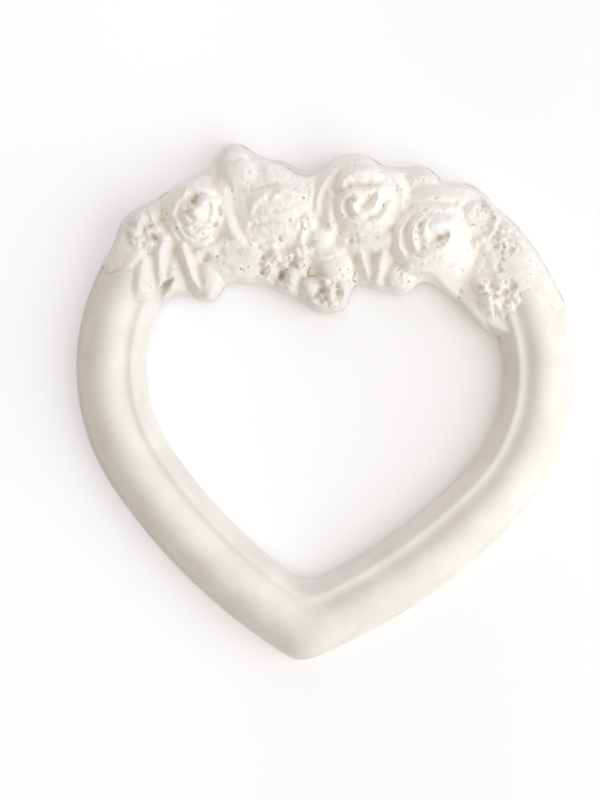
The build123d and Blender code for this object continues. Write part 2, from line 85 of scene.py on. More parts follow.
# Sprigs: x, y and z in millimetres, read from the reference view.
# body: middle, half lengths, turn, top and drop to its shoulder
# petals: a turned edge along a line, its inner side on the left, with the falls inwards and outwards
# creases: a line, its half width and depth; pits: place, radius and depth
SPRIGS = {
    "blossom_1": {
        "body": [
            (-52.4, 44.7, 2.3, 1.7, 55, 14.6, 1.4), (-53.0, 42.0, 1.9, 1.5, 20, 14.4, 1.3),
            (-52.2, 39.2, 1.8, 1.9, 70, 14.9, 1.3), (-49.3, 38.6, 1.6, 1.7, 0, 14.6, 1.3),
            (-49.4, 45.4, 2.1, 1.4, 110, 13.9, 1.2), (-47.8, 42.4, 1.9, 1.6, 20, 13.6, 1.2),
            (-49.6, 42.0, 1.2, 1.2, 0, 13.8, 1.0),
        ],
        "creases": [
            ([(-50.6, 42.6), (-51.6, 43.3)], 0.4, 0.8), ([(-50.7, 41.2), (-51.8, 40.6)], 0.4, 0.9),
            ([(-50.2, 40.4), (-50.6, 38.4)], 0.4, 0.9),
        ],
        "pits": [
            (-50.6, 42.2, 0.55, 1.2), (-49.0, 43.8, 0.7, 1.3), (-48.4, 40.6, 0.7, 1.3),
            (-50.9, 39.0, 0.4, 0.8),
        ],
    },
    "leaf_4": {
        "petals": [([(-51.6, 36.4, 14.6), (-52.9, 34.6, 14.9), (-53.8, 32.6, 14.5)], 0.8, 0.6, 0.9)],
    },
    "leaf_5": {"petals": [([(-50.7, 34.6, 14.6), (-50.8, 31, 14.9), (-51.0, 27.2, 14.4)], 0.9, 0.9, 0.9)]},
    "leaf_6": {
        "petals": [
            ([(-45.6, 40.0, 15.0), (-46.3, 37.0, 15.2), (-46.1, 33.5, 14.4), (-45.4, 30, 13.4),
            (-44.6, 26.6, 11.6)], 1.5, 1.5, 0.9),
        ],
        "pits": [(-45.4, 31.0, 0.45, 0.7), (-44.4, 28.2, 0.4, 0.5)],
    },
    "leaf_7": {
        "petals": [([(-42.6, 33.6, 12.6), (-42.5, 31, 13.0), (-42.3, 27.6, 12.0)], 0.8, 0.9, 0.8)],
        "pits": [(-42.9, 32.4, 0.4, 0.6)],
    },
    "leaf_8": {
        "petals": [
            ([(-40.4, 39.2, 14.4), (-39.0, 36.0, 14.8), (-38.2, 33.4, 14.6), (-36.6, 29.8, 13.6),
            (-34.0, 27.2, 12.4), (-31.4, 25.6, 11.2)], 1.7, 2.6, 0.7),
        ],
    },
    "leaf_9": {
        "body": [(-32.6, 30.6, 3.0, 5.0, 12, 13.4, 2.0), (-31.6, 27.4, 2.0, 2.8, 20, 12.2, 1.6)],
        "creases": [([(-35.8, 34.0), (-35.4, 31.8), (-34.6, 30.0)], 0.55, 1.8)],
    },
    "leaf_3": {
        "body": [
            (-26.5, 35.8, 7.6, 4.6, 2, 13.6, 2.4), (-31.5, 37.4, 4.0, 3.2, -10, 13.2, 1.8),
            (-23.0, 38.6, 3.6, 3.0, -20, 13.8, 1.6),
        ],
        "petals": [
            ([(-25.0, 41.4, 14.4), (-29.4, 40.6, 14.2), (-33.6, 39.4, 14.0),
            (-36.6, 37.4, 13.8)], 0.9, 1.8, 0.6),
        ],
        "creases": [([(-35.0, 36.4), (-33.4, 36.0), (-30.0, 34.6), (-27.0, 33.6)], 0.9, 0.7)],
        "pits": [
            (-34.2, 36.4, 1.0, 1.6), (-30.2, 38.4, 1.4, 0.8), (-32.8, 36.2, 0.4, 0.5),
            (-29.8, 35.4, 0.5, 0.4),
        ],
    },
    "rose_1": {
        "body": [(-37.2, 47.6, 7.2, 7.0, 0, 15.0, 3.0)],
        "petals": [
            ([(-33.6, 53.4, 15.9), (-35.4, 54.2, 16.6), (-37.6, 54.5, 16.9), (-39.8, 54.0, 16.8),
            (-41.6, 52.2, 16.4), (-42.8, 49.8, 15.8), (-43.7, 47.4, 14.9)], 1.5, 2.2, 0.75),
            ([(-43.6, 44.2, 14.0), (-43.2, 42.4, 14.2), (-41.8, 40.8, 14.2)], 1.0, 1.8, 0.5),
            ([(-42.4, 45.4, 15.0), (-41.6, 43.2, 15.5), (-39.8, 41.6, 15.6),
            (-37.6, 40.4, 15.2)], 1.1, 2.0, 0.5), ([(-39.6, 43.6, 16.4), (-37.8, 42.4, 16.8),
            (-35.8, 42.6, 16.8), (-34.4, 44.0, 16.4)], 1.0, 2.0, 0.5), ([(-36.6, 40.2, 15.0),
            (-34.6, 40.6, 15.2), (-33.2, 42.4, 15.2), (-32.6, 44.2, 14.8)], 1.3, 2.2, 0.5),
            ([(-31.2, 45.4, 14.8), (-30.8, 48.0, 15.2), (-31.2, 50.6, 15.4),
            (-32.4, 52.4, 15.4)], 1.0, 1.8, 0.5), ([(-33.4, 46.6, 17.2), (-32.8, 49.0, 17.5),
            (-33.4, 51.2, 17.4)], 1.4, 2.2, 0.5), ([(-34.2, 51.4, 17.6), (-36.0, 51.4, 17.8),
            (-36.8, 50.4, 17.8)], 1.4, 2.0, 0.5), ([(-41.0, 48.4, 16.4), (-40.2, 46.0, 17.0),
            (-38.2, 45.2, 17.4), (-36.2, 45.6, 17.6), (-35.2, 47.2, 17.8)], 1.6, 2.2, 0.55),
            ([(-36.2, 49.6, 18.6), (-37.8, 49.2, 18.8), (-38.4, 47.8, 18.6),
            (-37.2, 46.9, 18.6)], 1.0, 2.0, 0.6),
        ],
        "pits": [
            (-38.2, 50.8, 1.15, 2.6), (-40.4, 47.6, 0.9, 1.8), (-38.4, 48.2, 0.35, 0.8),
            (-31.6, 48.8, 0.9, 1.8), (-31.6, 50.4, 0.45, 0.9), (-34.8, 49.2, 0.55, 1.2),
            (-32.4, 45.2, 1.0, 1.8), (-32.6, 42.6, 0.9, 1.8), (-35.4, 45.2, 0.5, 0.8),
            (-38.0, 43.8, 0.5, 0.8),
        ],
        "creases": [
            ([(-41.8, 51.0), (-42.2, 48.6), (-41.4, 46.4)], 0.7, 1.0), ([(-35.6, 41.2),
            (-34.2, 42.6)], 0.35, 0.8),
        ],
    },
    "leaf_2": {
        "petals": [
            ([(-31.2, 54.4, 14.4), (-30.2, 51.0, 14.8), (-29.4, 47.6, 15.0), (-28.4, 44.6, 15.0),
            (-26.6, 42.4, 14.6)], 0.95, 1.25, 1.0),
        ],
        "pits": [(-28.8, 44.1, 0.4, 0.6), (-31.2, 53.6, 0.35, 0.5)],
    },
    "leaf_1": {
        "body": [(-27.0, 58.0, 5.2, 5.0, 20, 14.6, 2.6), (-28.6, 62.0, 4.4, 4.4, 0, 12.6, 2.6)],
        "pits": [
            (-24.9, 59.8, 0.55, 0.9), (-28.7, 55.0, 0.5, 0.9), (-24.8, 56.9, 0.4, 0.5),
            (-28.4, 62.4, 0.9, 0.3),
        ],
        "creases": [
            ([(-31.6, 58.4), (-30.4, 56.0), (-29.2, 53.6)], 0.8, 1.4), ([(-27.0, 54.6), (-24.6, 54.4),
            (-23.6, 55.4)], 0.9, 1.4),
        ],
    },
    "rose_2": {
        "body": [
            (-16.4, 51.6, 7.6, 5.4, 6, 17.2, 3.0), (-15.6, 45.6, 7.0, 3.2, 8, 15.0, 2.2),
            (-17.0, 41.6, 4.6, 1.6, 18, 13.6, 1.4),
        ],
        "petals": [
            ([(-12.6, 57.0, 14.4), (-16.2, 57.9, 14.6), (-19.6, 57.2, 14.6), (-22.4, 56.2, 14.4),
            (-24.2, 54.4, 14.0)], 0.8, 1.5, 0.45), ([(-10.2, 55.0, 16.6), (-13.4, 55.6, 17.4),
            (-16.4, 55.8, 17.6), (-17.8, 54.0, 17.6)], 0.7, 1.8, 0.5), ([(-18.4, 54.6, 17.4),
            (-21.0, 53.4, 17.2), (-22.8, 51.2, 16.8), (-23.2, 48.6, 16.2)], 0.5, 2.0, 0.6),
            ([(-23.0, 47.0, 16.0), (-20.0, 48.2, 17.0), (-16.6, 48.6, 17.6), (-13.6, 50.2, 17.6),
            (-9.9, 51.6, 16.6)], 0.35, 1.6, 0.5), ([(-22.8, 44.8, 14.6), (-19.0, 45.4, 15.4),
            (-14.6, 45.8, 15.8), (-10.6, 47.0, 15.4)], 0.7, 0.9, 0.8), ([(-23.2, 41.0, 13.6),
            (-20.6, 41.8, 14.0), (-17.6, 43.0, 14.2), (-15.4, 43.9, 14.0)], 0.8, 1.2, 0.4),
            ([(-9.6, 49.0, 15.4), (-9.0, 46.4, 15.2), (-9.6, 44.0, 14.6)], 0.9, 1.6, 0.5),
        ],
        "creases": [
            ([(-23.6, 54.8), (-21.4, 56.2), (-18.8, 56.8), (-17.2, 57.0)], 0.5, 1.3), ([(-19.3, 53.4),
            (-18.6, 54.6), (-17.4, 55.0)], 0.5, 1.2), ([(-16.8, 55.2), (-14.6, 54.2),
            (-13.4, 53.8)], 0.4, 0.6), ([(-22.8, 45.7), (-19.6, 46.7), (-16.4, 47.1), (-13.4, 47.9),
            (-9.8, 49.3)], 0.45, 1.2), ([(-21.4, 41.0), (-18.8, 41.6), (-16.6, 43.0),
            (-15.0, 43.8)], 0.5, 1.2),
        ],
        "pits": [
            (-15.1, 43.2, 0.9, 1.6), (-13.2, 47.9, 0.55, 0.9), (-12.2, 46.6, 1.3, 0.5),
            (-9.9, 46.8, 0.8, 1.0), (-17.0, 49.9, 0.7, 0.5), (-22.6, 46.3, 0.7, 1.0),
            (-20.8, 44.8, 0.5, 0.7), (-20.7, 40.5, 0.5, 0.8), (-9.7, 54.0, 0.5, 1.4),
            (-20.8, 47.0, 0.45, 0.6),
        ],
    },
    "petal_1": {
        "petals": [
            ([(-8.2, 58.0, 14.6), (-9.6, 55.6, 15.0), (-10.0, 54.6, 15.2)], 1.2, 1.8, 0.4),
            ([(-7.9, 56.6, 15.2), (-8.1, 53.8, 15.8), (-8.6, 51.6, 15.6)], 1.4, 1.6, 0.45),
            ([(-8.6, 50.4, 15.6), (-7.9, 48.4, 15.4), (-7.2, 46.8, 15.0)], 1.2, 1.4, 0.6),
        ],
        "creases": [
            ([(-9.6, 50.2), (-8.6, 51.2), (-7.0, 51.0)], 0.45, 1.3), ([(-6.9, 56.8), (-7.0, 54.0),
            (-6.9, 51.0)], 0.45, 1.2),
        ],
    },
    "petal_2": {
        "petals": [
            ([(-2.2, 62.0, 14.6), (-4.0, 59.6, 15.4), (-5.6, 56.6, 15.8), (-6.0, 54.0, 15.6),
            (-5.4, 51.2, 15.2)], 1.3, 1.4, 0.7),
        ],
        "creases": [
            ([(-4.4, 56.0), (-4.1, 53.4), (-4.3, 50.4)], 0.6, 2.0), ([(-5.6, 50.6),
            (-5.0, 48.0)], 0.8, 1.2),
        ],
    },
    "petal_3": {
        "petals": [
            ([(-2.8, 55.6, 14.6), (-2.4, 52.6, 15.4), (-2.2, 49.4, 15.4),
            (-2.0, 46.8, 14.8)], 1.2, 1.6, 0.7),
        ],
        "pits": [
            (-2.4, 48.3, 0.45, 0.9), (-1.6, 48.2, 0.3, 0.7), (-1.9, 47.1, 0.4, 0.8), (-2.4, 53.8, 0.5, 0.7),
        ],
    },
    "petal_4": {
        "body": [(-4.2, 44.4, 3.2, 2.6, 10, 14.8, 1.8)],
        "pits": [(-6.3, 43.4, 0.45, 0.9), (-7.6, 41.9, 0.5, 0.9)],
    },
    "rose_3": {
        "body": [(6.2, 53.6, 9.0, 9.2, 0, 16.4, 3.6)],
        "petals": [
            ([(9.4, 64.6, 13.2), (6.6, 65.0, 13.9), (3.4, 65.0, 14.2), (0.4, 63.9, 14.2),
            (-1.8, 61.6, 14.2), (-2.8, 58.4, 14.2)], 0.9, 2.0, 0.55), ([(9.0, 62.4, 17.6),
            (7.0, 63.2, 18.2), (4.0, 62.8, 18.4), (1.6, 61.4, 18.2), (0.2, 59.2, 17.6)], 0.62, 2.4, 0.6),
            ([(10.4, 58.6, 18.4), (7.6, 57.7, 19.2), (4.4, 57.7, 19.4), (1.8, 57.0, 19.0),
            (0.5, 54.8, 18.4), (0.3, 52.0, 17.8), (1.0, 49.8, 17.2)], 0.55, 2.4, 0.55), ([(4.2, 55.2, 20.2),
            (3.4, 53.8, 20.6), (3.5, 52.2, 20.6), (4.8, 51.2, 20.4)], 0.9, 2.2, 0.6), ([(4.8, 51.0, 20.4),
            (7.2, 51.6, 20.4), (9.2, 53.2, 20.2), (10.0, 55.4, 19.8), (9.8, 57.4, 19.2)], 0.85, 2.4, 0.6),
            ([(2.2, 49.6, 18.0), (5.0, 48.8, 18.6), (8.0, 48.9, 18.8), (10.8, 50.2, 18.8),
            (12.8, 52.6, 18.4), (13.4, 55.0, 17.6)], 0.75, 2.2, 0.6), ([(1.2, 48.4, 15.8),
            (3.6, 47.0, 16.6), (7.4, 46.9, 17.0), (11.0, 47.8, 17.0), (13.6, 50.0, 16.6)], 0.5, 2.2, 0.6),
        ],
        "creases": [
            ([(-1.2, 59.0), (2.0, 58.6), (6.0, 58.4), (9.4, 58.6)], 0.45, 0.8), ([(1.9, 54.2), (1.8, 52.6),
            (2.6, 51.0)], 0.6, 1.7), ([(6.2, 53.2), (7.6, 54.4), (9.0, 56.6)], 0.7, 1.6), ([(7.8, 50.0),
            (10.0, 51.0), (11.6, 53.2)], 0.5, 1.2), ([(3.0, 45.9), (6.0, 46.3), (9.0, 46.2),
            (12.2, 46.2)], 0.5, 0.9),
        ],
        "pits": [
            (2.3, 57.9, 0.6, 1.3), (3.2, 54.4, 0.7, 1.2), (2.8, 63.6, 0.6, 0.5), (9.2, 62.2, 0.7, 1.0),
            (5.9, 53.6, 0.5, 0.6), (8.2, 49.9, 0.6, 0.8), (4.9, 50.4, 0.4, 0.4),
        ],
    },
    "petal_5": {
        "petals": [
            ([(2.4, 43.2, 13.8), (5.6, 43.0, 14.4), (9.6, 43.7, 14.8), (13.4, 44.6, 14.8)], 0.35, 1.7, 0.7),
        ],
        "pits": [(3.6, 44.1, 0.85, 1.5), (5.4, 44.6, 0.7, 0.9), (9.0, 43.8, 0.3, 0.3)],
    },
    "petal_6": {
        "petals": [
            ([(16.6, 54.2, 14.6), (16.4, 56.8, 15.2), (15.2, 59.6, 15.2), (13.0, 61.8, 14.8),
            (10.6, 62.9, 14.4)], 0.55, 1.5, 0.7), ([(13.0, 56.2, 16.2), (12.6, 58.6, 16.0),
            (11.4, 60.6, 15.6)], 0.7, 0.9, 0.8),
        ],
        "pits": [
            (16.9, 56.0, 0.6, 1.1), (14.2, 58.6, 0.45, 0.5), (15.5, 58.8, 0.3, 0.3), (9.9, 61.4, 0.5, 0.5),
        ],
        "creases": [([(10.4, 58.6), (11.6, 57.2), (13.4, 56.2)], 0.4, 0.6)],
    },
    "petal_7": {
        "body": [(0.8, 37.2, 4.0, 3.8, -20, 14.0, 2.0)],
        "petals": [
            ([(-7.6, 40.4, 12.9), (-5.6, 40.9, 13.2), (-3.0, 41.1, 13.4),
            (-0.6, 41.0, 13.4)], 1.0, 1.2, 0.35), ([(-3.6, 38.9, 13.4), (-1.4, 39.4, 14.0),
            (0.4, 40.0, 14.0)], 1.0, 1.4, 0.4),
        ],
        "creases": [
            ([(-5.4, 41.6), (-5.5, 40.0)], 0.3, 0.9), ([(-4.6, 41.6), (-4.7, 40.6)], 0.22, 0.6),
            ([(-3.8, 41.6), (-3.9, 40.6)], 0.22, 0.6), ([(-2.9, 41.6), (-3.0, 40.4)], 0.25, 0.7),
            ([(-2.0, 41.8), (-2.0, 40.8)], 0.25, 0.6), ([(-1.2, 41.6), (-1.1, 40.6)], 0.22, 0.5),
            ([(-3.2, 38.2), (-1.6, 38.3), (-0.2, 39.2)], 0.35, 0.8),
        ],
        "pits": [
            (3.6, 36.3, 0.55, 1.2), (2.0, 34.6, 0.6, 0.7), (3.4, 34.6, 0.4, 0.5), (-5.6, 40.2, 0.45, 0.7),
        ],
    },
    "blossom_2": {
        "body": [
            (-15.9, 38.3, 1.5, 1.9, 15, 14.2, 1.1), (-17.4, 36.4, 2.0, 1.3, 20, 13.8, 1.1),
            (-16.9, 34.4, 1.7, 1.5, 0, 13.6, 1.1), (-14.4, 36.4, 1.3, 1.6, 0, 12.8, 1.1),
            (-18.9, 38.6, 1.6, 1.3, 30, 12.6, 1.1), (-18.6, 32.2, 2.2, 1.4, 10, 12.4, 1.3),
        ],
        "pits": [
            (-18.6, 37.6, 0.7, 1.2), (-17.6, 35.3, 0.5, 0.9), (-17.0, 34.6, 0.3, 0.4),
            (-15.2, 36.2, 0.8, 1.4), (-18.6, 34.0, 0.7, 1.4), (-16.4, 32.6, 0.7, 1.2),
        ],
        "creases": [
            ([(-16.8, 38.8), (-16.4, 37.4)], 0.3, 0.9), ([(-21.6, 30.6), (-20.2, 31.6),
            (-18.4, 32.4)], 0.4, 1.0),
        ],
    },
    "blossom_3": {
        "body": [
            (-11.0, 33.0, 1.9, 3.2, -12, 13.2, 1.5), (-8.7, 37.2, 1.6, 1.5, 40, 13.4, 1.1),
            (-12.6, 38.6, 1.7, 1.2, -20, 13.4, 1.0), (-9.4, 40.2, 2.0, 1.5, 20, 13.8, 1.1),
            (-13.0, 36.9, 1.1, 1.5, 20, 13.0, 1.0), (-9.0, 34.6, 1.4, 1.3, 0, 12.6, 1.1),
            (-12.8, 30.6, 2.2, 1.4, -30, 11.6, 1.3),
        ],
        "pits": [
            (-12.2, 38.2, 0.6, 1.2), (-10.6, 38.4, 0.7, 1.3), (-11.6, 36.6, 0.9, 1.4),
            (-8.2, 36.7, 0.55, 1.2), (-13.4, 33.8, 1.2, 2.0), (-10.0, 36.0, 0.7, 1.1),
            (-14.2, 35.6, 0.6, 1.0),
        ],
        "creases": [([(-14.6, 39.6), (-13.4, 39.0), (-12.6, 40.8)], 0.5, 1.2)],
    },
    "blossom_4": {
        "body": [
            (-5.6, 30.8, 2.2, 2.0, 10, 13.6, 1.4), (-2.0, 32.6, 1.3, 1.2, 0, 14.0, 1.0),
            (-0.5, 30.2, 1.2, 2.2, 5, 14.6, 1.1), (2.6, 32.6, 1.8, 2.0, 30, 13.4, 1.2),
            (3.2, 29.0, 1.5, 1.9, 0, 13.2, 1.2), (0.4, 27.0, 1.5, 2.0, 20, 13.8, 1.2),
            (-2.6, 26.4, 2.3, 1.5, 10, 13.2, 1.3), (-4.6, 27.2, 1.4, 1.5, 60, 12.8, 1.2),
            (-1.8, 29.0, 1.6, 1.4, 0, 12.6, 1.0), (0.6, 33.8, 1.6, 1.3, 0, 13.4, 1.1),
        ],
        "pits": [
            (-3.0, 32.5, 0.75, 1.8), (-2.5, 30.4, 1.1, 2.2), (-2.9, 27.6, 0.75, 1.6), (1.6, 30.4, 1.0, 2.2),
            (1.0, 32.0, 0.7, 1.6), (1.8, 26.7, 0.65, 1.4), (0.3, 25.2, 0.5, 0.9), (-0.6, 32.6, 0.5, 1.0),
            (-3.6, 28.5, 0.5, 1.0), (-1.7, 28.4, 0.5, 1.0), (-4.4, 29.0, 0.5, 1.0), (0.9, 28.6, 0.4, 0.9),
        ],
        "creases": [([(-3.9, 29.6), (-4.8, 28.6), (-6.4, 28.8)], 0.45, 1.2)],
    },
    "leaf_12": {
        "petals": [
            ([(6.6, 41.8, 13.2), (7.6, 38.6, 13.4), (8.8, 35.8, 12.8), (9.6, 33.4, 11.8)], 1.2, 2.2, 0.4),
        ],
    },
    "leaf_13": {
        "petals": [
            ([(12.4, 42.0, 13.6), (12.0, 39.0, 14.2), (11.6, 36.0, 14.0),
            (11.3, 32.8, 12.8)], 0.9, 1.4, 0.9),
        ],
        "creases": [([(8.4, 41.4), (9.6, 40.6), (9.0, 38.4)], 0.8, 1.0)],
    },
    "bud": {
        "body": [(17.6, 34.8, 3.7, 4.0, 0, 14.6, 2.2)],
        "pits": [(17.4, 38.0, 0.55, 1.1), (17.7, 36.5, 0.6, 1.2), (17.0, 35.2, 0.35, 0.5)],
        "creases": [([(16.6, 38.6), (17.2, 36.4), (17.0, 34.2)], 0.35, 0.6)],
    },
    "rose_4": {
        "body": [(25.0, 46.6, 8.6, 9.4, 0, 16.2, 3.6)],
        "petals": [
            ([(19.6, 52.8, 15.8), (17.6, 50.6, 16.6), (16.4, 47.8, 17.0), (16.4, 44.8, 17.0),
            (17.6, 42.2, 16.8), (19.6, 40.6, 16.4)], 1.5, 2.2, 0.6), ([(22.0, 52.2, 18.0),
            (20.4, 50.4, 18.8), (19.8, 47.6, 19.2), (20.0, 45.0, 19.0), (21.2, 43.2, 18.6),
            (23.4, 42.4, 18.2)], 0.7, 2.2, 0.6), ([(23.6, 51.2, 19.6), (22.6, 49.2, 20.2),
            (22.6, 47.4, 20.2), (23.8, 46.6, 20.0)], 0.9, 2.0, 0.5), ([(23.4, 43.4, 19.4),
            (25.6, 43.3, 19.8), (27.4, 44.0, 20.0), (29.0, 45.6, 20.0), (29.6, 47.6, 19.6),
            (29.2, 49.4, 19.2)], 0.9, 1.4, 0.5), ([(28.4, 50.6, 19.4), (26.0, 50.4, 20.0),
            (24.4, 50.2, 20.0)], 0.6, 1.4, 0.6), ([(20.4, 41.4, 17.2), (23.0, 40.4, 17.6),
            (26.0, 40.7, 17.8), (28.8, 42.0, 18.0), (31.2, 44.0, 17.6), (32.2, 47.0, 17.0),
            (32.0, 50.0, 16.6)], 0.35, 1.5, 0.8), ([(20.4, 38.6, 15.6), (24.0, 37.9, 15.8),
            (28.0, 37.9, 15.8), (31.6, 39.2, 15.4), (32.6, 42.0, 15.2)], 0.25, 1.7, 0.8),
            ([(32.0, 50.4, 15.8), (31.0, 53.8, 16.0), (28.6, 55.2, 16.2), (25.0, 54.2, 16.4),
            (21.6, 53.6, 16.2)], 0.3, 1.6, 0.7),
        ],
        "creases": [
            ([(19.3, 51.0), (18.4, 48.8), (18.3, 46.4), (19.0, 44.2)], 0.75, 1.2), ([(25.4, 41.5),
            (27.4, 42.3), (29.6, 44.3)], 0.4, 1.0), ([(22.4, 46.2), (25.0, 46.2), (28.0, 46.9)], 0.8, 1.8),
            ([(20.2, 41.6), (22.6, 41.4)], 0.35, 0.5), ([(22.0, 53.0), (24.0, 52.2)], 0.4, 0.7),
        ],
        "pits": [
            (21.4, 49.7, 0.85, 1.9), (22.7, 43.6, 0.7, 1.4), (27.7, 44.6, 0.55, 1.2),
            (26.6, 46.3, 0.9, 1.2), (28.7, 47.8, 0.6, 0.9), (22.3, 53.7, 0.5, 1.1), (21.3, 51.9, 0.5, 0.9),
            (23.6, 49.4, 0.7, 0.7), (22.3, 39.6, 0.5, 0.6), (25.8, 43.9, 0.4, 0.7), (24.6, 45.4, 0.5, 0.6),
            (28.2, 52.3, 0.4, 0.3), (30.5, 43.3, 0.35, 0.4),
        ],
    },
    "leaf_10": {
        "petals": [
            ([(31.0, 57.0, 14.0), (28.0, 57.6, 14.6), (24.4, 57.3, 14.8), (21.0, 56.5, 14.4),
            (18.4, 56.2, 13.6)], 0.7, 0.9, 0.8),
        ],
        "creases": [([(18.2, 54.5), (21.4, 54.9), (25.4, 55.3), (30.2, 56.6)], 0.5, 1.6)],
        "pits": [(24.8, 57.3, 0.55, 0.9), (30.2, 55.8, 0.3, 0.4)],
    },
    "leaf_11": {
        "petals": [
            ([(25.6, 61.6, 11.6), (23.4, 62.4, 12.6), (20.6, 62.3, 13.0),
            (18.4, 61.6, 13.0)], 0.8, 1.4, 0.9),
        ],
        "pits": [(18.0, 60.4, 0.55, 1.0), (21.2, 61.7, 0.4, 0.5)],
    },
    "blossom_5": {
        "body": [(35.2, 52.2, 4.4, 5.0, 0, 14.6, 2.2), (38.4, 50.6, 3.2, 2.8, 20, 13.8, 1.6)],
        "petals": [
            ([(33.8, 46.8, 14.6), (32.4, 49.0, 14.4), (32.2, 51.6, 14.4)], 0.9, 1.0, 0.5),
            ([(36.4, 46.6, 14.4), (38.6, 47.9, 14.6), (40.2, 48.9, 14.4)], 0.9, 1.6, 0.5),
            ([(40.2, 49.2, 14.6), (41.2, 51.6, 14.4), (41.2, 54.0, 13.8),
            (39.6, 56.0, 13.4)], 0.9, 1.4, 0.5),
        ],
        "creases": [
            ([(36.0, 55.8), (35.2, 54.2), (34.2, 53.2)], 0.28, 0.7), ([(37.2, 55.6), (36.2, 54.2),
            (35.4, 52.8)], 0.28, 0.8), ([(34.6, 56.4), (33.8, 55.0), (33.0, 53.6)], 0.28, 0.6),
            ([(33.2, 56.0), (32.6, 54.4)], 0.28, 0.6), ([(31.2, 55.0), (31.0, 52.4)], 0.3, 0.6),
            ([(38.0, 56.9), (37.0, 56.0)], 0.4, 1.0), ([(36.4, 52.6), (38.6, 53.0),
            (40.6, 53.0)], 0.8, 1.4), ([(35.6, 50.4), (38.2, 50.9), (40.0, 50.8)], 0.5, 1.1),
            ([(35.0, 48.8), (37.0, 49.4), (39.4, 49.4)], 0.4, 0.9), ([(32.2, 49.4), (31.9, 47.6),
            (32.6, 46.4)], 0.45, 0.9), ([(33.4, 51.0), (34.0, 49.0), (34.4, 47.2)], 0.35, 0.7),
        ],
        "pits": [
            (38.3, 55.0, 0.8, 1.4), (37.4, 56.8, 0.4, 0.9), (34.7, 51.2, 0.45, 1.0), (35.5, 46.9, 0.6, 1.1),
            (40.2, 53.4, 0.6, 1.0), (32.0, 52.8, 0.5, 0.4),
        ],
    },
    "blossom_6": {
        "body": [(43.4, 49.8, 3.0, 2.4, 30, 14.4, 1.6)],
        "petals": [
            ([(42.0, 47.4, 14.8), (43.8, 48.8, 15.2), (45.8, 49.6, 14.6)], 0.9, 1.2, 0.4),
            ([(42.4, 50.6, 14.4), (44.2, 51.2, 14.0), (46.4, 50.6, 13.4)], 0.9, 1.2, 0.4),
        ],
        "creases": [
            ([(42.2, 48.2), (44.0, 49.2), (45.6, 49.5)], 0.35, 1.2), ([(41.4, 49.8), (42.0, 48.4),
            (41.4, 46.8)], 0.5, 1.3), ([(42.4, 51.2), (43.6, 51.0)], 0.5, 0.8),
        ],
        "pits": [
            (46.1, 49.3, 0.6, 1.3), (41.6, 46.1, 0.75, 1.6), (41.0, 48.6, 0.6, 1.1), (42.6, 50.6, 0.6, 0.9),
        ],
    },
    "blossom_7": {
        "body": [(45.6, 46.0, 3.0, 2.8, 20, 14.8, 1.6)],
        "petals": [
            ([(43.8, 47.9, 14.8), (45.6, 48.2, 15.2), (47.6, 47.8, 15.0),
            (48.4, 46.2, 14.6)], 1.0, 1.2, 0.4),
        ],
        "creases": [
            ([(44.8, 47.6), (45.6, 46.6), (47.0, 47.4), (48.2, 46.6)], 0.4, 1.2), ([(43.8, 45.4),
            (44.2, 44.0), (44.6, 42.4)], 0.5, 1.3),
        ],
        "pits": [
            (45.8, 45.3, 0.95, 1.9), (43.7, 46.3, 0.5, 1.1), (43.7, 44.5, 0.6, 1.3), (43.9, 42.8, 0.6, 1.1),
            (45.4, 43.8, 0.5, 0.8),
        ],
    },
    "leaf_15": {
        "petals": [
            ([(45.4, 42.8, 14.8), (48.2, 42.6, 15.2), (51.0, 42.2, 14.8),
            (53.6, 41.2, 13.4)], 0.35, 0.6, 1.4),
        ],
        "creases": [([(45.6, 40.9), (48.0, 41.0), (51.4, 40.9)], 0.4, 0.6)],
    },
    "leaf_16": {
        "petals": [
            ([(45.6, 38.8, 14.6), (48.6, 39.0, 15.2), (51.4, 38.8, 15.0),
            (54.0, 37.8, 14.2)], 0.5, 0.45, 1.4),
        ],
        "pits": [
            (43.8, 39.8, 0.7, 1.4), (42.9, 40.7, 0.6, 1.0), (53.2, 38.8, 0.35, 0.3), (50.7, 37.4, 0.4, 0.4),
        ],
    },
    "leaf_14": {
        "petals": [
            ([(39.6, 46.4, 13.4), (39.4, 43.4, 13.0), (38.6, 40.4, 12.4),
            (37.8, 37.6, 11.4)], 0.7, 0.7, 1.2),
        ],
        "body": [(42.0, 42.6, 2.2, 3.2, 10, 13.8, 1.4)],
        "pits": [(38.8, 43.6, 0.7, 0.8)],
    },
    "blossom_8": {
        "body": [
            (44.4, 33.8, 5.4, 4.4, 0, 13.6, 2.2), (39.8, 35.2, 1.9, 1.6, -30, 14.6, 1.1),
            (41.6, 31.8, 1.7, 1.9, 40, 14.8, 1.1), (43.6, 38.2, 1.8, 1.4, 0, 14.4, 1.1),
            (47.0, 38.0, 1.5, 1.4, 0, 14.2, 1.1), (43.9, 31.9, 0.9, 2.0, -20, 14.6, 0.9),
            (48.4, 33.0, 1.5, 1.8, 20, 14.2, 1.1), (43.8, 35.6, 1.3, 1.4, 0, 14.8, 1.0),
            (46.8, 30.8, 1.4, 1.2, 0, 13.8, 1.1), (49.4, 36.4, 1.6, 1.5, 20, 14.2, 1.1),
        ],
        "pits": [
            (38.4, 34.8, 0.7, 1.6), (41.7, 35.3, 0.95, 1.9), (45.1, 34.2, 1.0, 2.2), (47.1, 35.8, 1.1, 2.2),
            (45.8, 32.2, 0.9, 1.8), (42.8, 32.7, 0.55, 1.4), (45.2, 36.9, 0.5, 1.2),
            (49.2, 33.8, 0.55, 1.1), (45.2, 30.3, 0.65, 1.2), (44.4, 31.2, 0.5, 1.0),
            (40.0, 33.4, 0.5, 1.1), (46.6, 37.4, 0.5, 1.0),
        ],
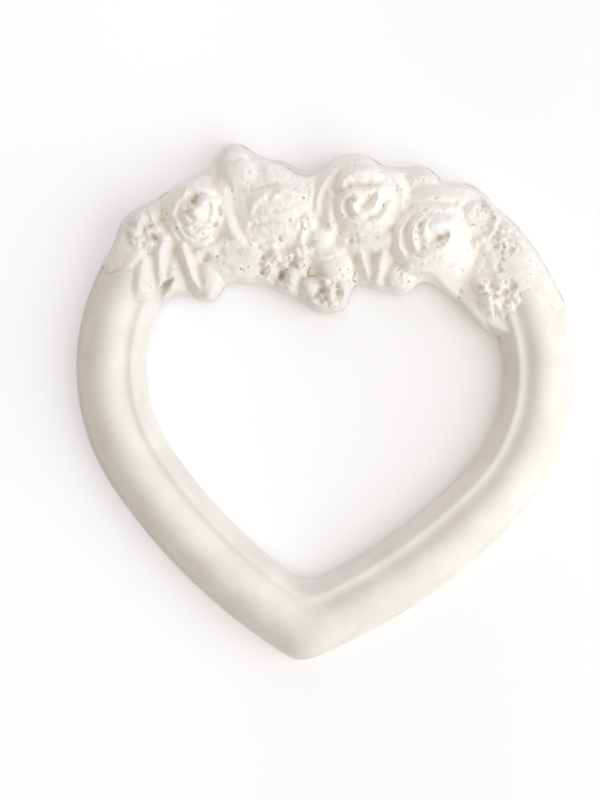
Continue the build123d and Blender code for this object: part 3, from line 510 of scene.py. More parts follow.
        "creases": [([(40.0, 33.8), (40.2, 32.6), (40.0, 31.2)], 0.4, 1.1)],
    },
}

# How much painted light lightens the plaster of each kind of sprig, and how ragged it is in millimetres
PAINTED_LIGHT = {"rose": 0.8, "blossom": 0.15, "bud": 0.5, "leaf": 0.35, "petal": 0.7}
RAGGED = {"rose": 0.34, "blossom": 0.85, "bud": 0.4, "leaf": 0.16, "petal": 0.2}

# Heights that stand for no form at all and for no ground, and a length too small to divide by
NO_FORM, NO_GROUND = -5.0, -3.0
TINY = 1e-6

# Uneven patterns: after how many lumps they repeat, and how many lie before the origin
WAVES_REPEAT, WAVES_BEFORE = 64, 400.0

# Levels at which the view's millimetres, the garland's lower edge, and its pits and creases were read
VIEW_LEVEL, LOW_EDGE_LEVEL, SPRIG_LEVEL = 1.0, 5.0, 14.0

# Modelling grid: its ends, how many steps past the casting's edge it holds and from how many steps off its
# border is drawn to that edge, and how far a sprig and a pit reach
GRID_LEFT, GRID_RIGHT, GRID_LOW, GRID_HIGH = -62.0, 62.0, 21.0, 68.5
EDGE_STEPS, SNAP_STEPS = 0.8, 1.2
SPRIG_REACH, PIT_REACH = 12.0, 3.0

# Ground: the outer wall, the lip over the opening, and the flatter lip of the wedge at its right end
WALL_RISE, WALL_REACH = 12.0, 3.4
LIP_FOOT, LIP_RISE, LIP_REACH = 2.0, 10.0, 0.8
WEDGE_X, WEDGE_WIDTH, WEDGE_REACH = 34.0, 8.0, 0.9

# Moulding: fall below its foot, height from which it counts as there, setback of the foot for the rebate,
# width of the small edges at the back, and angle below the limb's centre where the spin starts
FOOT_SLOPE, RIM_EDGE = 2.6, 2.6
FOOT_SETBACK, SMALL_EDGE = 0.45, 0.15
SPIN_START = math.radians(70)

# Tip: how far below the lobes' centres it is looked for
TIP_BELOW = 20.0

# Heights of the moulding that the sinking leaves, from which the top and the sides are uneven, and below
# which corners sharper than an angle are shown as sharp
SUNK_LEAST, UNEVEN_TOP, UNEVEN_SIDE = 0.8, 3.0, 0.4
SHARP_BELOW, SHARP_FROM = 2.6, math.radians(50)

# Greatest height of a sprig: at the outer and the lower edge with the rise inwards, and over the moulding
OUTER_FOOT, OUTER_RISE = 1.0, 6.5
LOWER_FOOT, LOWER_RISE = 6.0, 7.0
MELT_RISE, MELT_GAIN, MELT_LEVEL = 1.0, 0.7, 28.5

# Softness of the corners between forms, the fall round a body, and how much of a petal's round edge and of
# a crease's depth is cut
RIM_BLEND, SPRIG_BLEND, BODY_BLEND, PETAL_BLEND = 0.3, 0.35, 0.4, 0.25
BODY_FALL, EDGE_SHARE, CREASE_SHARE = 2.6, 0.7, 0.7

# Reach of the softening: painted light, surface before and after its cuts, raggedness, hollows, uneven
# surface
PAINTED_LIGHT_SOFT, FORM_SOFT, CUT_SOFT, RAGGED_SOFT, HOLLOW_SOFT, ROUGH_SOFT = 1.0, 0.25, 0.18, 0.8, 1.1, 1.0

# Uneven stretches: height, size of the lumps and number of their pattern
RIM_LUMPS = (0.10, 9.0, 3)
RIM_GRAIN = (0.015, 1.7, 7)
SIDE_LUMPS = (0.04, 8.0, 12)
SPRIG_LUMPS = (0.07, 1.7, 4)
SPRIG_GRAIN = (0.04, 0.8, 9)
WANDER = ((0.28, 2.6, 21), (0.13, 1.0, 23))
PIT_WANDER = (0.5, 0.9, 41)

# Ragged cuts: size and number of two patterns, share of the finer one, width, depth and the margin that
# they fade in by the casting's edge
CUT_LINES, FINE_CUT_LINES = (1.5, 31), (0.8, 32)
FINE_CUT_SHARE = 0.6
CUT_WIDTH, CUT_DEPTH, CUT_MARGIN = 0.5, 2.0, 3.0

# Painted shade in the hollows: growth with depth, greatest strength, and how it fades in by the casting's
# edge
HOLLOW_GAIN, HOLLOW_MOST, HOLLOW_MARGIN, HOLLOW_START = 0.55, 0.7, 4.0, 0.25

# Pits: shares of their width and depth that are cut, and the painted shade in them
PIT_WIDTH_SHARE, PIT_DEPTH_SHARE = 0.9, 0.7
PIT_HOLLOW_GAIN, PIT_HOLLOW_MOST = 0.3, 0.45

# Share of pinholes on the sprigs, the ground and the moulding
SPRIG_PITTING, GROUND_PITTING, RIM_PITTING = 1.0, 0.3, 0.15

# Slabs: least heights, how high the ground goes under the sprigs and how far its wall stands back there,
# how deep a sprig goes into the ground, fewest cells of a sprig, and what counts as level
LEAST_SURFACE, LEAST_GROUND, LEAST_WALL = 0.6, 0.3, 0.05
COVERED_TOP, COVERED_DROP, GROUND_INSET = 7.6, 0.5, 0.04
SPRIG_BASE, SPRIG_DEPTH = 7.0, 0.8
FEWEST_CELLS = 4
LEVEL, LEVEL_ANGLE = 0.999, 0.002

# Where the ground gives way to the bare moulding: how near it is to the moulding's top, how low the moulding
# lies outside, from which level on, and how far before the moulding's end
BARE_NEAR, BARE_LOW, BARE_LEVEL, BARE_MARGIN = 0.03, -1.0, 30.0, math.radians(2)
OUTER_SIDE = 0.01


def length_setting(name, description, default):
    """Declares a length in metres."""
    return FloatProperty(name=name, description=description, default=default, unit="LENGTH", precision=5)


def angle_setting(name, description, degrees):
    """Declares an angle."""
    default = math.radians(degrees)
    return FloatProperty(name=name, description=description, default=default, subtype="ANGLE")


def colour_setting(name, description, default):
    """Declares a colour."""
    given = {"name": name, "description": description, "default": default}
    return FloatVectorProperty(subtype="COLOR", min=0, max=1, **given)


def share_setting(name, description, default, most=1):
    """Declares a share or a strength."""
    return FloatProperty(name=name, description=description, default=default, min=0, max=most)


class CastingSizes(PropertyGroup):
    """Sizes of the heart moulding and of the ground that carries the garland."""

    lobe_radius: length_setting("Lobe radius", "Outer radius of the heart's lobes", 0.0567)
    lobe_x: length_setting("Lobe centre X", "Distance of a lobe's centre from the frame's axis", 0.0089)
    lobe_y: length_setting("Lobe centre Y", "Level of the lobes' centres", 0.0097)
    limb_radius: length_setting("Limb radius", "Outer radius of the flatter arcs that run to the tip", 0.152)
    limb_angle: angle_setting("Limb start", "Angle below the lobe's centre where the limb begins", 38.8)
    rim_end: angle_setting("Moulding end", "Angle of the lobe where the moulding ends", 50)
    sink_start: angle_setting("Sink start", "Angle of the lobe where the moulding starts to sink", 30)
    sink_turn: angle_setting("Sink length", "Angle over which the moulding sinks", 16)
    sink_depth: length_setting("Sink depth", "How far the moulding sinks under the garland", 0.006)
    foot_inset: length_setting("Foot inset", "Distance of the opening's foot from the outer edge", 0.0190)
    rebate_ledge: length_setting("Rebate ledge", "Width of the rebate for the print", 0.003)
    rebate_depth: length_setting("Rebate depth", "Depth of the rebate for the print", 0.002)
    tip_round: length_setting("Tip round", "Outer radius of the heart's tip", 0.008)
    opening_tip_round: length_setting("Opening tip round", "Radius of the opening's tip", 0.009)
    ground_top: length_setting("Ground", "Greatest height of the ground between the sprigs", 0.0094)
    station_step: length_setting("Station step", "Distance between the moulding's stations", 0.0008)
    grid_step: length_setting("Modelling grid", "Spacing of the garland's modelling grid", 0.00025)


class PlasterLook(PropertyGroup):
    """Colours and finish of the plaster."""

    colour: colour_setting("Plaster", "Colour of the dry plaster", (0.86, 0.85, 0.82))
    stain: colour_setting("Shade", "Colour of the darker patches", (0.80, 0.785, 0.75))
    # Painted shade: a warm darker colour laid in the carving's hollows and pits
    hollow_shade_colour: colour_setting("Hollows", "Colour of the dust in the hollows", (0.80, 0.73, 0.61))
    # Painted light: a lighter colour laid over the sprigs, the roses most, as though they were more brightly
    # lit
    painted_light_colour: colour_setting("Fair plaster", "Colour of the cleaner plaster", (0.96, 0.95, 0.92))
    # Painted shade: the colour that darkens the inside of the pinholes, besides their bump
    pinhole_shade_colour: colour_setting("Pinholes", "Colour inside the pinholes", (0.55, 0.53, 0.49))
    roughness: share_setting("Roughness", "Roughness of the plaster", 0.88)
    pinhole_spacing: length_setting("Pinhole spacing", "Distance between the pinholes", 0.0032)
    pinhole_depth: length_setting("Pinhole depth", "Depth of the pinholes", 0.0003)
    grain_size: length_setting("Grain", "Size of the plaster's grain", 0.0005)
    grain_depth: length_setting("Grain depth", "Depth of the plaster's grain", 0.0001)


class StudioSizes(PropertyGroup):
    """Floor, lamps and camera."""

    floor_size: length_setting("Floor", "Side of the floor", 3.0)
    floor_colour: colour_setting("Floor colour", "Colour of the floor", (0.93, 0.92, 0.91))
    # Painted light: the floor the camera sees is brighter on the far side to even out the lamp's fall-off,
    # with a painted warm shadow on the lamp's side
    floor_seen: colour_setting("Floor as seen", "Colour the camera sees on the far side", (0.96, 0.97, 1.0))
    floor_seen_near: colour_setting("Floor as seen near", "The same on the lamp's side", (0.80, 0.86, 0.93))
    floor_lift: colour_setting("Floor lift", "Light added to that on the far side", (0.15, 0.15, 0.165))
    floor_lift_near: colour_setting("Floor lift near", "The same on the lamp's side", (0.175, 0.125, 0.075))
    far_side: length_setting("Far side", "Place on the X axis where the floor's far side begins", -0.07)
    near_side: length_setting("Near side", "Place on the X axis where the lamp's side begins", 0.05)
    lamp_turn: angle_setting("Lamp turn", "Direction of the main lamp round the frame", -16)
    lamp_rise: angle_setting("Lamp rise", "Height of the main lamp above the horizon", 41)
    lamp_distance: length_setting("Lamp distance", "Distance of the lamps", 0.6)
    lamp_size: length_setting("Lamp size", "Side of the lamps", 0.7)
    lamp_colour: colour_setting("Lamp colour", "Colour of the main lamp", (0.96, 0.975, 1.0))
    lamp_share: share_setting("Lamp share", "Share of the light that comes from the main lamp", 0.85, 2)
    sky_share: share_setting("Sky share", "Share of the light that comes from all round", 0.50, 2)
    sky_colour: colour_setting("Sky colour", "Colour of the light from all round", (1.0, 0.93, 0.83))
    cool_turn: angle_setting("Cool lamp turn", "Direction of the cool lamp round the frame", 95)
    cool_rise: angle_setting("Cool lamp rise", "Height of the cool lamp above the horizon", 32)
    cool_share: share_setting("Cool share", "Share of the light that comes from the cool lamp", 0.29, 2)
    cool_colour: colour_setting("Cool colour", "Colour of the cool lamp", (0.88, 0.85, 1.0))
    camera_height: length_setting("Camera height", "Height of the camera above the table", 0.68)
    camera_x: length_setting("Camera X", "Place of the camera across the frame", -0.00598)
    camera_y: length_setting("Camera Y", "Place of the camera along the frame", 0.00119)
    camera_turn: angle_setting("Camera turn", "Turn of the camera about its own line of sight", 4.97)
    lens: FloatProperty(name="Lens", description="Focal length in millimetres", default=116.1, min=10)


def casting():
    """Gives the casting's sizes in millimetres, and its angles as they are."""
    sizes = bpy.context.scene.heart_casting
    angles = ("limb_angle", "rim_end", "sink_start", "sink_turn")
    return {
        key: getattr(sizes, key) * (1 if key in angles else MM) for key in CastingSizes.__annotations__
    }


def near(line, x, y):
    """Gives each place's distance from a line, how far it lies to its left, and the line's height there."""
    best = np.full(x.shape, np.inf)
    left = np.zeros(x.shape)
    rise = np.zeros(x.shape)
    for start, end in zip(line, line[1:]):
        dx, dy = end[0] - start[0], end[1] - start[1]
        run = math.hypot(dx, dy)
        along = np.clip(((x - start[0]) * dx + (y - start[1]) * dy) / (run * run), 0, 1)
        gap = np.hypot(x - start[0] - along * dx, y - start[1] - along * dy)
        closer = gap < best
        best = np.where(closer, gap, best)
        side = (dx * (y - start[1]) - dy * (x - start[0])) / (run * np.maximum(gap, TINY))
        left = np.where(closer, side, left)
        if len(start) > 2:
            rise = np.where(closer, start[2] + along * (end[2] - start[2]), rise)
    return best, left, rise


def rounded(line, rounds=2):
    """Softens the corners of a line by cutting a quarter off each stretch's ends."""
    for turn in range(rounds):
        soft = [line[0]]
        for start, end in zip(line, line[1:]):
            soft.append(tuple(a * 0.75 + b * 0.25 for a, b in zip(start, end)))
            soft.append(tuple(a * 0.25 + b * 0.75 for a, b in zip(start, end)))
        soft.append(line[-1])
        line = soft
    return line


def inside(outline, x, y):
    """Tells which places a closed outline holds."""
    held = np.zeros(x.shape, bool)
    for start, end in zip(outline, outline[1:] + outline[:1]):
        if start[1] != end[1]:
            crosses = (start[1] > y) != (end[1] > y)
            held ^= crosses & (x < (end[0] - start[0]) * (y - start[1]) / (end[1] - start[1]) + start[0])
    return held


def blend(low, high, reach):
    """Takes the higher of two heights and softens the corner between them."""
    step = np.maximum(reach - np.abs(low - high), 0)
    return np.maximum(low, high) + step * step / (4 * reach)


def eased(part):
    """Eases a part from 0 to 1 in and out."""
    return part * part * (3 - 2 * part)


def waves(x, y, size, pattern):
    """Gives smooth lumps of about a given size, between -1 and 1, in a pattern of a given number."""
    table = np.random.default_rng(pattern).uniform(-1, 1, (WAVES_REPEAT, WAVES_REPEAT))
    u, v = x / size + WAVES_BEFORE, y / size + WAVES_BEFORE
    i, j = np.floor(u).astype(int), np.floor(v).astype(int)
    fu, fv = eased(u - i), eased(v - j)
    i, j, i1, j1 = (k % WAVES_REPEAT for k in (i, j, i + 1, j + 1))
    low_side = table[i, j] * (1 - fu) * (1 - fv) + table[i1, j] * fu * (1 - fv)
    return low_side + table[i, j1] * (1 - fu) * fv + table[i1, j1] * fu * fv


def lumps(x, y, kind):
    """Gives one of the uneven stretches, in millimetres."""
    height, size, pattern = kind
    return height * waves(x, y, size, pattern)


def lobe_angle(x, y, c):
    """Gives each place's angle about the centre of its lobe."""
    return np.arctan2(y - c["lobe_y"], np.abs(x) - c["lobe_x"])


def sinking(x, y, c):
    """Tells how far the moulding has sunk under the garland, in millimetres."""
    return c["sink_depth"] * eased(np.clip((lobe_angle(x, y, c) - c["sink_start"]) / c["sink_turn"], 0, 1))


def moulding_top(x, y, c):
    """Gives the height of the moulding and its bead about the lobes."""
    inset = c["lobe_radius"] - np.hypot(np.abs(x) - c["lobe_x"], y - c["lobe_y"])
    insets, heights = zip(*rounded(MOULDING_SECTION, 1))
    top = np.interp(inset, insets, heights, left=NO_FORM)
    foot = insets[-1]
    top = np.where(inset > foot, heights[-1] - (inset - foot) * FOOT_SLOPE, top)
    return top - sinking(x, y, c)


def settled_place(x, y, z):
    """Moves a place from where the camera sees it to where it lies at its height."""
    studio = bpy.context.scene.heart_studio
    height, eye_x, eye_y = studio.camera_height * MM, studio.camera_x * MM, studio.camera_y * MM
    part = (height - z) / (height - VIEW_LEVEL)
    return eye_x + (x - eye_x) * part, eye_y + (y - eye_y) * part


def settled_line(line, level=SPRIG_LEVEL):
    """Settles each point of a line, at its own height or at a level."""
    return [(*settled_place(p[0], p[1], p[2] if len(p) > 2 else level), *p[2:]) for p in line]


def settled_sprig(parts):
    """Settles all the parts of a sprig."""
    bodies, pits = parts.get("body", ()), parts.get("pits", ())
    return {
        "body": [(*settled_place(x, y, rest[3]), *rest) for x, y, *rest in bodies],
        "petals": [(settled_line(line), *rest) for line, *rest in parts.get("petals", ())],
        "creases": [(settled_line(line), *rest) for line, *rest in parts.get("creases", ())],
        "pits": [(*settled_place(x, y, SPRIG_LEVEL), *rest) for x, y, *rest in pits],
    }


def wandered(x, y):
    """Shifts places a little to and fro, as lines that are cut by hand wander."""
    to_x, to_y = x, y
    for reach, size, pattern in WANDER:
        to_x = to_x + reach * waves(x, y, size, pattern)
        to_y = to_y + reach * waves(x, y, size, pattern + 1)
    return to_x, to_y


def sprig_form(parts, x, y):
    """Gives the height of one sprig's surface."""
    own = np.full(x.shape, NO_FORM)
    x, y = wandered(x, y)
    for cx, cy, rx, ry, turn, top, drop in parts["body"]:
        c, s = math.cos(math.radians(turn)), math.sin(math.radians(turn))
        d = np.hypot(((x - cx) * c + (y - cy) * s) / rx, ((y - cy) * c - (x - cx) * s) / ry)
        dome = top - drop * (1 - np.sqrt(np.maximum(1 - d * d, 0)))
        own = blend(own, dome - np.maximum(d - 1, 0) * BODY_FALL * min(rx, ry), BODY_BLEND)
    for line, inner, outer, edge_round in parts["petals"]:
        gap, left, rise = near(rounded(line), x, y)
        fall = outer + (inner - outer) * (0.5 + 0.5 * left)
        crisp = EDGE_SHARE * edge_round
        own = blend(own, rise - fall * (np.sqrt(gap * gap + crisp * crisp) - crisp), PETAL_BLEND)
    for line, wide, deep in parts["creases"]:
        gap, _, _ = near(rounded(line, 1), x, y)
        own = own - CREASE_SHARE * deep * np.exp(-(gap / wide) ** 2)
    return own


def grid_window(g, places, reach):
    """Finds the part of the modelling grid that lies within reach of some places."""
    window = []
    for stations, values in zip((g["xs"], g["ys"]), zip(*places)):
        ends = np.searchsorted(stations, (min(values) - reach, max(values) + reach))
        window.append(slice(*ends))
    return tuple(window)


@functools.cache
def garland():
    """Models the garland on one grid: its surface, its sprigs' places and the casting's edge."""
    c = casting()
    step = c["grid_step"]
    xs = np.arange(GRID_LEFT, GRID_RIGHT + step / 2, step)
    ys = np.arange(GRID_LOW, GRID_HIGH + step / 2, step)
    x, y = np.meshgrid(xs, ys, indexing="ij")
    top_edge, low_edge = rounded(TOP_EDGE), rounded(settled_line(LOW_EDGE, LOW_EDGE_LEVEL))
    outline = top_edge + low_edge
    edge_gap, _, _ = near(outline + outline[:1], x, y)
    within = np.where(inside(outline, x, y), edge_gap, -edge_gap)
    g = {"step": step, "xs": xs, "ys": ys, "x": x, "y": y, "within": within}
    g["slope"] = np.gradient(within, step)
    g["held"] = within > -EDGE_STEPS * step
    g["top_gap"], _, _ = near(top_edge, x, y)
    g["low_gap"], _, _ = near(low_edge, x, y)
    g["rim"] = moulding_top(x, y, c) + lumps(x, y, RIM_LUMPS)
    g["sprigs"] = [settled_sprig(parts) for parts in SPRIGS.values()]
    lay_ground(g, c)
    raise_sprigs(g)
    cut_raggedly(g)
    find_hollows(g)
    prick_pits(g)
    roughen(g)
    g["owner"] = settled(g["owner"], len(SPRIGS) + 1)
    g["pitting"] = np.where(g["owner"] > 0, SPRIG_PITTING, GROUND_PITTING)
    rise_x, rise_y = np.gradient(g["z"], step)
    lie = np.stack([-rise_x, -rise_y, np.ones(x.shape)], axis=2)
    g["lie"] = lie / np.linalg.norm(lie, axis=2, keepdims=True)
    return g


def lay_ground(g, c):
    """Lays the ground of the garland and the moulding that runs under it."""
    wall = WALL_RISE * (1 - np.exp(-g["top_gap"] / WALL_REACH))
    slant = LIP_REACH + WEDGE_REACH * np.exp(-(((g["x"] - WEDGE_X) / WEDGE_WIDTH) ** 2))
    lip = LIP_FOOT + LIP_RISE * (1 - np.exp(-g["low_gap"] / slant))
    ground = np.minimum(np.minimum(wall, lip), c["ground_top"])
    g["z"] = blend(np.where(g["held"], ground, NO_GROUND), g["rim"], RIM_BLEND)


def sprig_ceiling(g):
    """Gives the greatest height of a sprig, lower by the edge and where it melts into the moulding."""
    ceiling = np.minimum(OUTER_FOOT + OUTER_RISE * g["top_gap"], LOWER_FOOT + LOWER_RISE * g["low_gap"])
    melt = MELT_RISE + MELT_GAIN * np.maximum(g["y"] - MELT_LEVEL, 0)
    over_rim = np.minimum(ceiling, g["rim"] + melt * np.maximum(g["within"], 0))
    return np.where(g["rim"] > RIM_EDGE, over_rim, ceiling)


def raise_sprigs(g):
    """Raises the sprigs out of the ground and notes which one stands highest at each place."""
    ceiling, z = sprig_ceiling(g), g["z"]
    owner = np.zeros(z.shape, int)
    ragged, fair = np.zeros(z.shape), np.zeros(z.shape)
    for number, (name, parts) in enumerate(zip(SPRIGS, g["sprigs"]), 1):
        places = [p[:2] for p in parts["body"]] + [p[:2] for line in parts["petals"] for p in line[0]]
        window = grid_window(g, places, SPRIG_REACH)
        own = np.minimum(sprig_form(parts, g["x"][window], g["y"][window]), ceiling[window])
        own = np.where(g["held"][window], own, NO_FORM)
        higher = own > z[window]
        kind = name.split("_")[0]
        # Each place also takes the raggedness and painted light of its highest sprig's kind
        for values, new in ((owner, number), (ragged, RAGGED[kind]), (fair, PAINTED_LIGHT[kind])):
            values[window] = np.where(higher, new, values[window])
        z[window] = blend(z[window], own, SPRIG_BLEND)
    g.update(owner=owner, ragged=ragged, fair=softened(g, fair, PAINTED_LIGHT_SOFT))


def cut_raggedly(g):
    """Softens the surface and cuts it with fine wandering lines."""
    x, y = g["x"], g["y"]
    z = softened(g, g["z"], FORM_SOFT)
    cuts = np.abs(waves(x, y, *CUT_LINES)) + FINE_CUT_SHARE * np.abs(waves(x, y, *FINE_CUT_LINES))
    depth = softened(g, g["ragged"], RAGGED_SOFT) * np.maximum(CUT_WIDTH - cuts, 0) * CUT_DEPTH
    z -= depth * np.clip(g["within"] / CUT_MARGIN, 0, 1)
    g["z"] = softened(g, z, CUT_SOFT)


def find_hollows(g):
    """Finds the hollows of the carving and how much painted shade they get."""
    depth = softened(g, g["z"], HOLLOW_SOFT) - g["z"]
    hollow = np.clip(depth * HOLLOW_GAIN, 0, HOLLOW_MOST)
    g["hollow"] = hollow * np.clip(g["within"] / HOLLOW_MARGIN - HOLLOW_START, 0, 1)


def prick_pits(g):
    """Pricks the deep pits of the sprigs."""
    reach, size, pattern = PIT_WANDER
    z, hollow = g["z"], g["hollow"]
    for parts in g["sprigs"]:
        for cx, cy, wide, deep in parts["pits"]:
            window = grid_window(g, [(cx, cy)], PIT_REACH)
            x, y = g["x"][window], g["y"][window]
            px = x - cx + reach * waves(x, y, size, pattern)
            py = y - cy + reach * waves(x, y, size, pattern + 1)
            dip = np.exp(-(px * px + py * py) ** 1.5 / (wide * PIT_WIDTH_SHARE) ** 3)
            z[window] -= PIT_DEPTH_SHARE * deep * dip
            # Painted shade in the pit
            pit_shade = np.clip(dip * deep * PIT_HOLLOW_GAIN, 0, PIT_HOLLOW_MOST)
            hollow[window] = np.maximum(hollow[window], pit_shade)


def roughen(g):
    """Gives the sprigs an uneven surface."""
    x, y = g["x"], g["y"]
    rough = softened(g, np.where(g["owner"] > 0, 1.0, 0.0), ROUGH_SOFT)
    z = g["z"] + rough * (lumps(x, y, SPRIG_LUMPS) + lumps(x, y, SPRIG_GRAIN))
    g["z"] = np.maximum(z, LEAST_SURFACE)


def softened(g, values, reach):
    """Softens values over a reach in millimetres, without what lies outside the casting."""
    spread = reach / g["step"]
    cells = int(math.ceil(spread * 2.5))
    weight, total = g["held"].astype(float), np.where(g["held"], values, 0.0)
    for axis in (0, 1):
        new_weight, new_total = np.zeros(values.shape), np.zeros(values.shape)
        for k in range(-cells, cells + 1):
            part = math.exp(-0.5 * (k / spread) ** 2)
            new_weight += part * np.roll(weight, k, axis)
            new_total += part * np.roll(total, k, axis)
        weight, total = new_weight, new_total
    return np.where(g["held"], total / np.maximum(weight, TINY), values)


def neighbours(mask, reach):
    """Counts the marked places round each place."""
    marked = mask.astype(int)
    steps = range(-reach, reach + 1)
    return sum(np.roll(np.roll(marked, i, 0), j, 1) for i in steps for j in steps)


def settled(owner, count):
    """Gives stray specks of one sprig to the sprig all round them."""
    for turn in range(2):
        best = np.zeros(owner.shape, int)
        most = np.full(owner.shape, -1)
        for number in range(count):
            votes = neighbours(owner == number, 2)
            better = votes > most
            best = np.where(better, number, best)
            most = np.where(better, votes, most)
        owner = best
    return owner


def finish_piece(bm, node):
    """Turns a modelled shape in millimetres into the piece that stands for a part of the casting."""
    name = node + "_cast"
    bmesh.ops.scale(bm, vec=Vector((1 / MM, 1 / MM, 1 / MM)), verts=bm.verts)
    mesh = bpy.data.meshes.new(name)
    bm.to_mesh(mesh)
    bm.free()
    shade_as_one(mesh)
    mesh.materials.append(plaster())
    piece = bpy.data.objects.new(name, mesh)
    bpy.context.scene.collection.objects.link(piece)
    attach(piece, "root")
    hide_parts(node)


def shade_as_one(mesh):
    """Shades the carved faces by the garland's slopes, so that neighbouring pieces meet seamlessly."""
    lie = np.zeros(len(mesh.vertices) * 3)
    mesh.attributes["lie"].data.foreach_get("vector", lie)
    carved = np.zeros(len(mesh.polygons), int)
    mesh.attributes["carved"].data.foreach_get("value", carved)
    corners, sizes = np.zeros(len(mesh.loops), int), np.zeros(len(mesh.polygons), int)
    mesh.loops.foreach_get("vertex_index", corners)
    mesh.polygons.foreach_get("loop_total", sizes)
    normals = lie.reshape(-1, 3)[corners] * np.repeat(carved, sizes)[:, None]
    mesh.normals_split_custom_set(normals.tolist())
    for name in ("lie", "carved"):
        mesh.attributes.remove(mesh.attributes[name])


def grid_place(g, v):
    """Finds a vertex's place on the modelling grid."""
    i = int(round((v.co.x - g["xs"][0]) / g["step"]))
    j = int(round((v.co.y - g["ys"][0]) / g["step"]))
    return min(max(i, 0), len(g["xs"]) - 1), min(max(j, 0), len(g["ys"]) - 1)


def relief_cells(bm, g, mask):
    """Lays a level sheet of the masked cells and gives its vertices with their places on the grid."""
    i_all, j_all = np.nonzero(mask)
    i0, i1, j0, j1 = i_all.min(), i_all.max() + 1, j_all.min(), j_all.max() + 1
    wide, high = (i1 - i0) * g["step"], (j1 - j0) * g["step"]
    middle = Matrix.Translation((g["xs"][i0] + wide / 2, g["ys"][j0] + high / 2, 0))
    place = middle @ Matrix.Diagonal((wide / 2, high / 2, 1, 1))
    grid = bmesh.ops.create_grid(bm, x_segments=i1 - i0, y_segments=j1 - j0, size=1, matrix=place)
    at = {v: grid_place(g, v) for v in grid["verts"]}
    stray = [f for f in bm.faces if not mask[min(at[v] for v in f.verts)]]
    bmesh.ops.delete(bm, geom=stray, context="FACES")
    return {v: at[v] for v in grid["verts"] if v.is_valid}


def relief_slab(bm, mask, top, bottom, inset=0.0):
    """Raises the masked cells of the grid to their heights and gives them a thickness down to the bottom."""
    g = garland()
    measures = ("hollow", "pitting", "fair")
    for name in measures:
        bm.verts.layers.float.new(name)
    bm.verts.layers.float_vector.new("lie")
    bm.faces.layers.int.new("carved")
    layers = {name: bm.verts.layers.float[name] for name in measures}
    layers["lie"] = bm.verts.layers.float_vector["lie"]
    carved = bm.faces.layers.int["carved"]
    slope_x, slope_y = g["slope"]
    for v, (i, j) in relief_cells(bm, g, mask).items():
        v.co.z = top[i, j]
        for name, layer in layers.items():
            v[layer] = g[name][i, j]
        gap = g["within"][i, j]
        if v.is_boundary and abs(gap) < SNAP_STEPS * g["step"]:
            v.co.x -= (gap - inset) * slope_x[i, j]
            v.co.y -= (gap - inset) * slope_y[i, j]
    faces = set(bm.faces)
    raised = bmesh.ops.extrude_face_region(bm, geom=list(faces))["geom"]
    for face in faces:
        face[carved] = 1
    for part in raised:
        if isinstance(part, bmesh.types.BMFace):
            part[carved] = 0
        if isinstance(part, bmesh.types.BMVert):
            part.co.z = min(bottom[grid_place(g, part)], part.co.z - LEAST_WALL)
    for face in bm.faces:
        face.smooth = face[carved] == 1
    bmesh.ops.reverse_faces(bm, faces=bm.faces)
    flatten_underside(bm, faces)


def flatten_underside(bm, top_faces):
    """Joins the small level faces below a slab and marks its rims as sharp."""
    bm.normal_update()
    for edge in bm.edges:
        if len(edge.link_faces) == 2 and sum(f in top_faces for f in edge.link_faces) == 1:
            edge.smooth = False
    below = {f for f in bm.faces if f not in top_faces and abs(f.normal.z) > LEVEL}
    edges = {e for f in below for e in f.edges if all(other in below for other in e.link_faces)}
    bmesh.ops.dissolve_limit(
        bm, angle_limit=LEVEL_ANGLE, use_dissolve_boundaries=False, verts=[], edges=list(edges))


def moulding_section(c):
    """Lists the section's corners, inset and height, from the outer foot over the top to the back."""
    edge, back = SMALL_EDGE, c["rebate_depth"]
    foot, ledge = c["foot_inset"] - FOOT_SETBACK, c["foot_inset"] - c["rebate_ledge"]
    rebate = [(foot, back + 0.1), (foot - edge, back), (ledge + 1.2, back), (ledge + edge, back)]
    inner_back = [(ledge, back - edge), (ledge, edge), (ledge - edge, 0.0), (8.0, 0.0), (0.3, 0.0)]
    return rounded(MOULDING_SECTION, 1) + rebate + inner_back


def spin_half(bm, c, limb, lobe):
    """Spins the moulding's section from below the tip round the limb and the lobe, and closes its end."""
    turn, start = c["limb_angle"], -SPIN_START
    heading = Vector((math.cos(start), math.sin(start), 0))
    up = Vector((0, 0, 1))
    section = moulding_section(c)
    places = [limb + heading * (c["limb_radius"] - inset) + up * height for inset, height in section]
    ring = [bm.verts.new(place) for place in places]
    geom = ring + [bm.edges.new((a, b)) for a, b in zip(ring, ring[1:] + ring[:1])]
    arcs = ((limb, -start - turn, c["limb_radius"]), (lobe, turn + c["rim_end"], c["lobe_radius"]))
    for centre, sweep, radius in arcs:
        steps = round(sweep * radius / c["station_step"])
        made = bmesh.ops.spin(bm, geom=geom, cent=centre, axis=up, angle=sweep, steps=steps)
        geom = made["geom_last"]
    bmesh.ops.edgeloop_fill(bm, edges=[e for e in geom if isinstance(e, bmesh.types.BMEdge)])
    bmesh.ops.remove_doubles(bm, verts=bm.verts, dist=1e-4)


def round_tip(bm, c, limb):
    """Rounds the heart's tip, outside and in the opening."""
    for v in bm.verts:
        if v.co.y >= c["lobe_y"] - TIP_BELOW:
            continue
        away = math.hypot(abs(v.co.x) - limb.x, v.co.y - limb.y)
        slope = -limb.x / math.sqrt(away ** 2 - limb.x ** 2)
        part = (c["limb_radius"] - away) / c["foot_inset"]
        soft = (c["tip_round"] + (c["opening_tip_round"] - c["tip_round"]) * part) * slope
        gap = abs(v.co.x)
        if gap < soft:
            v.co.y += slope * (gap * gap / (2 * soft) + soft / 2 - gap)


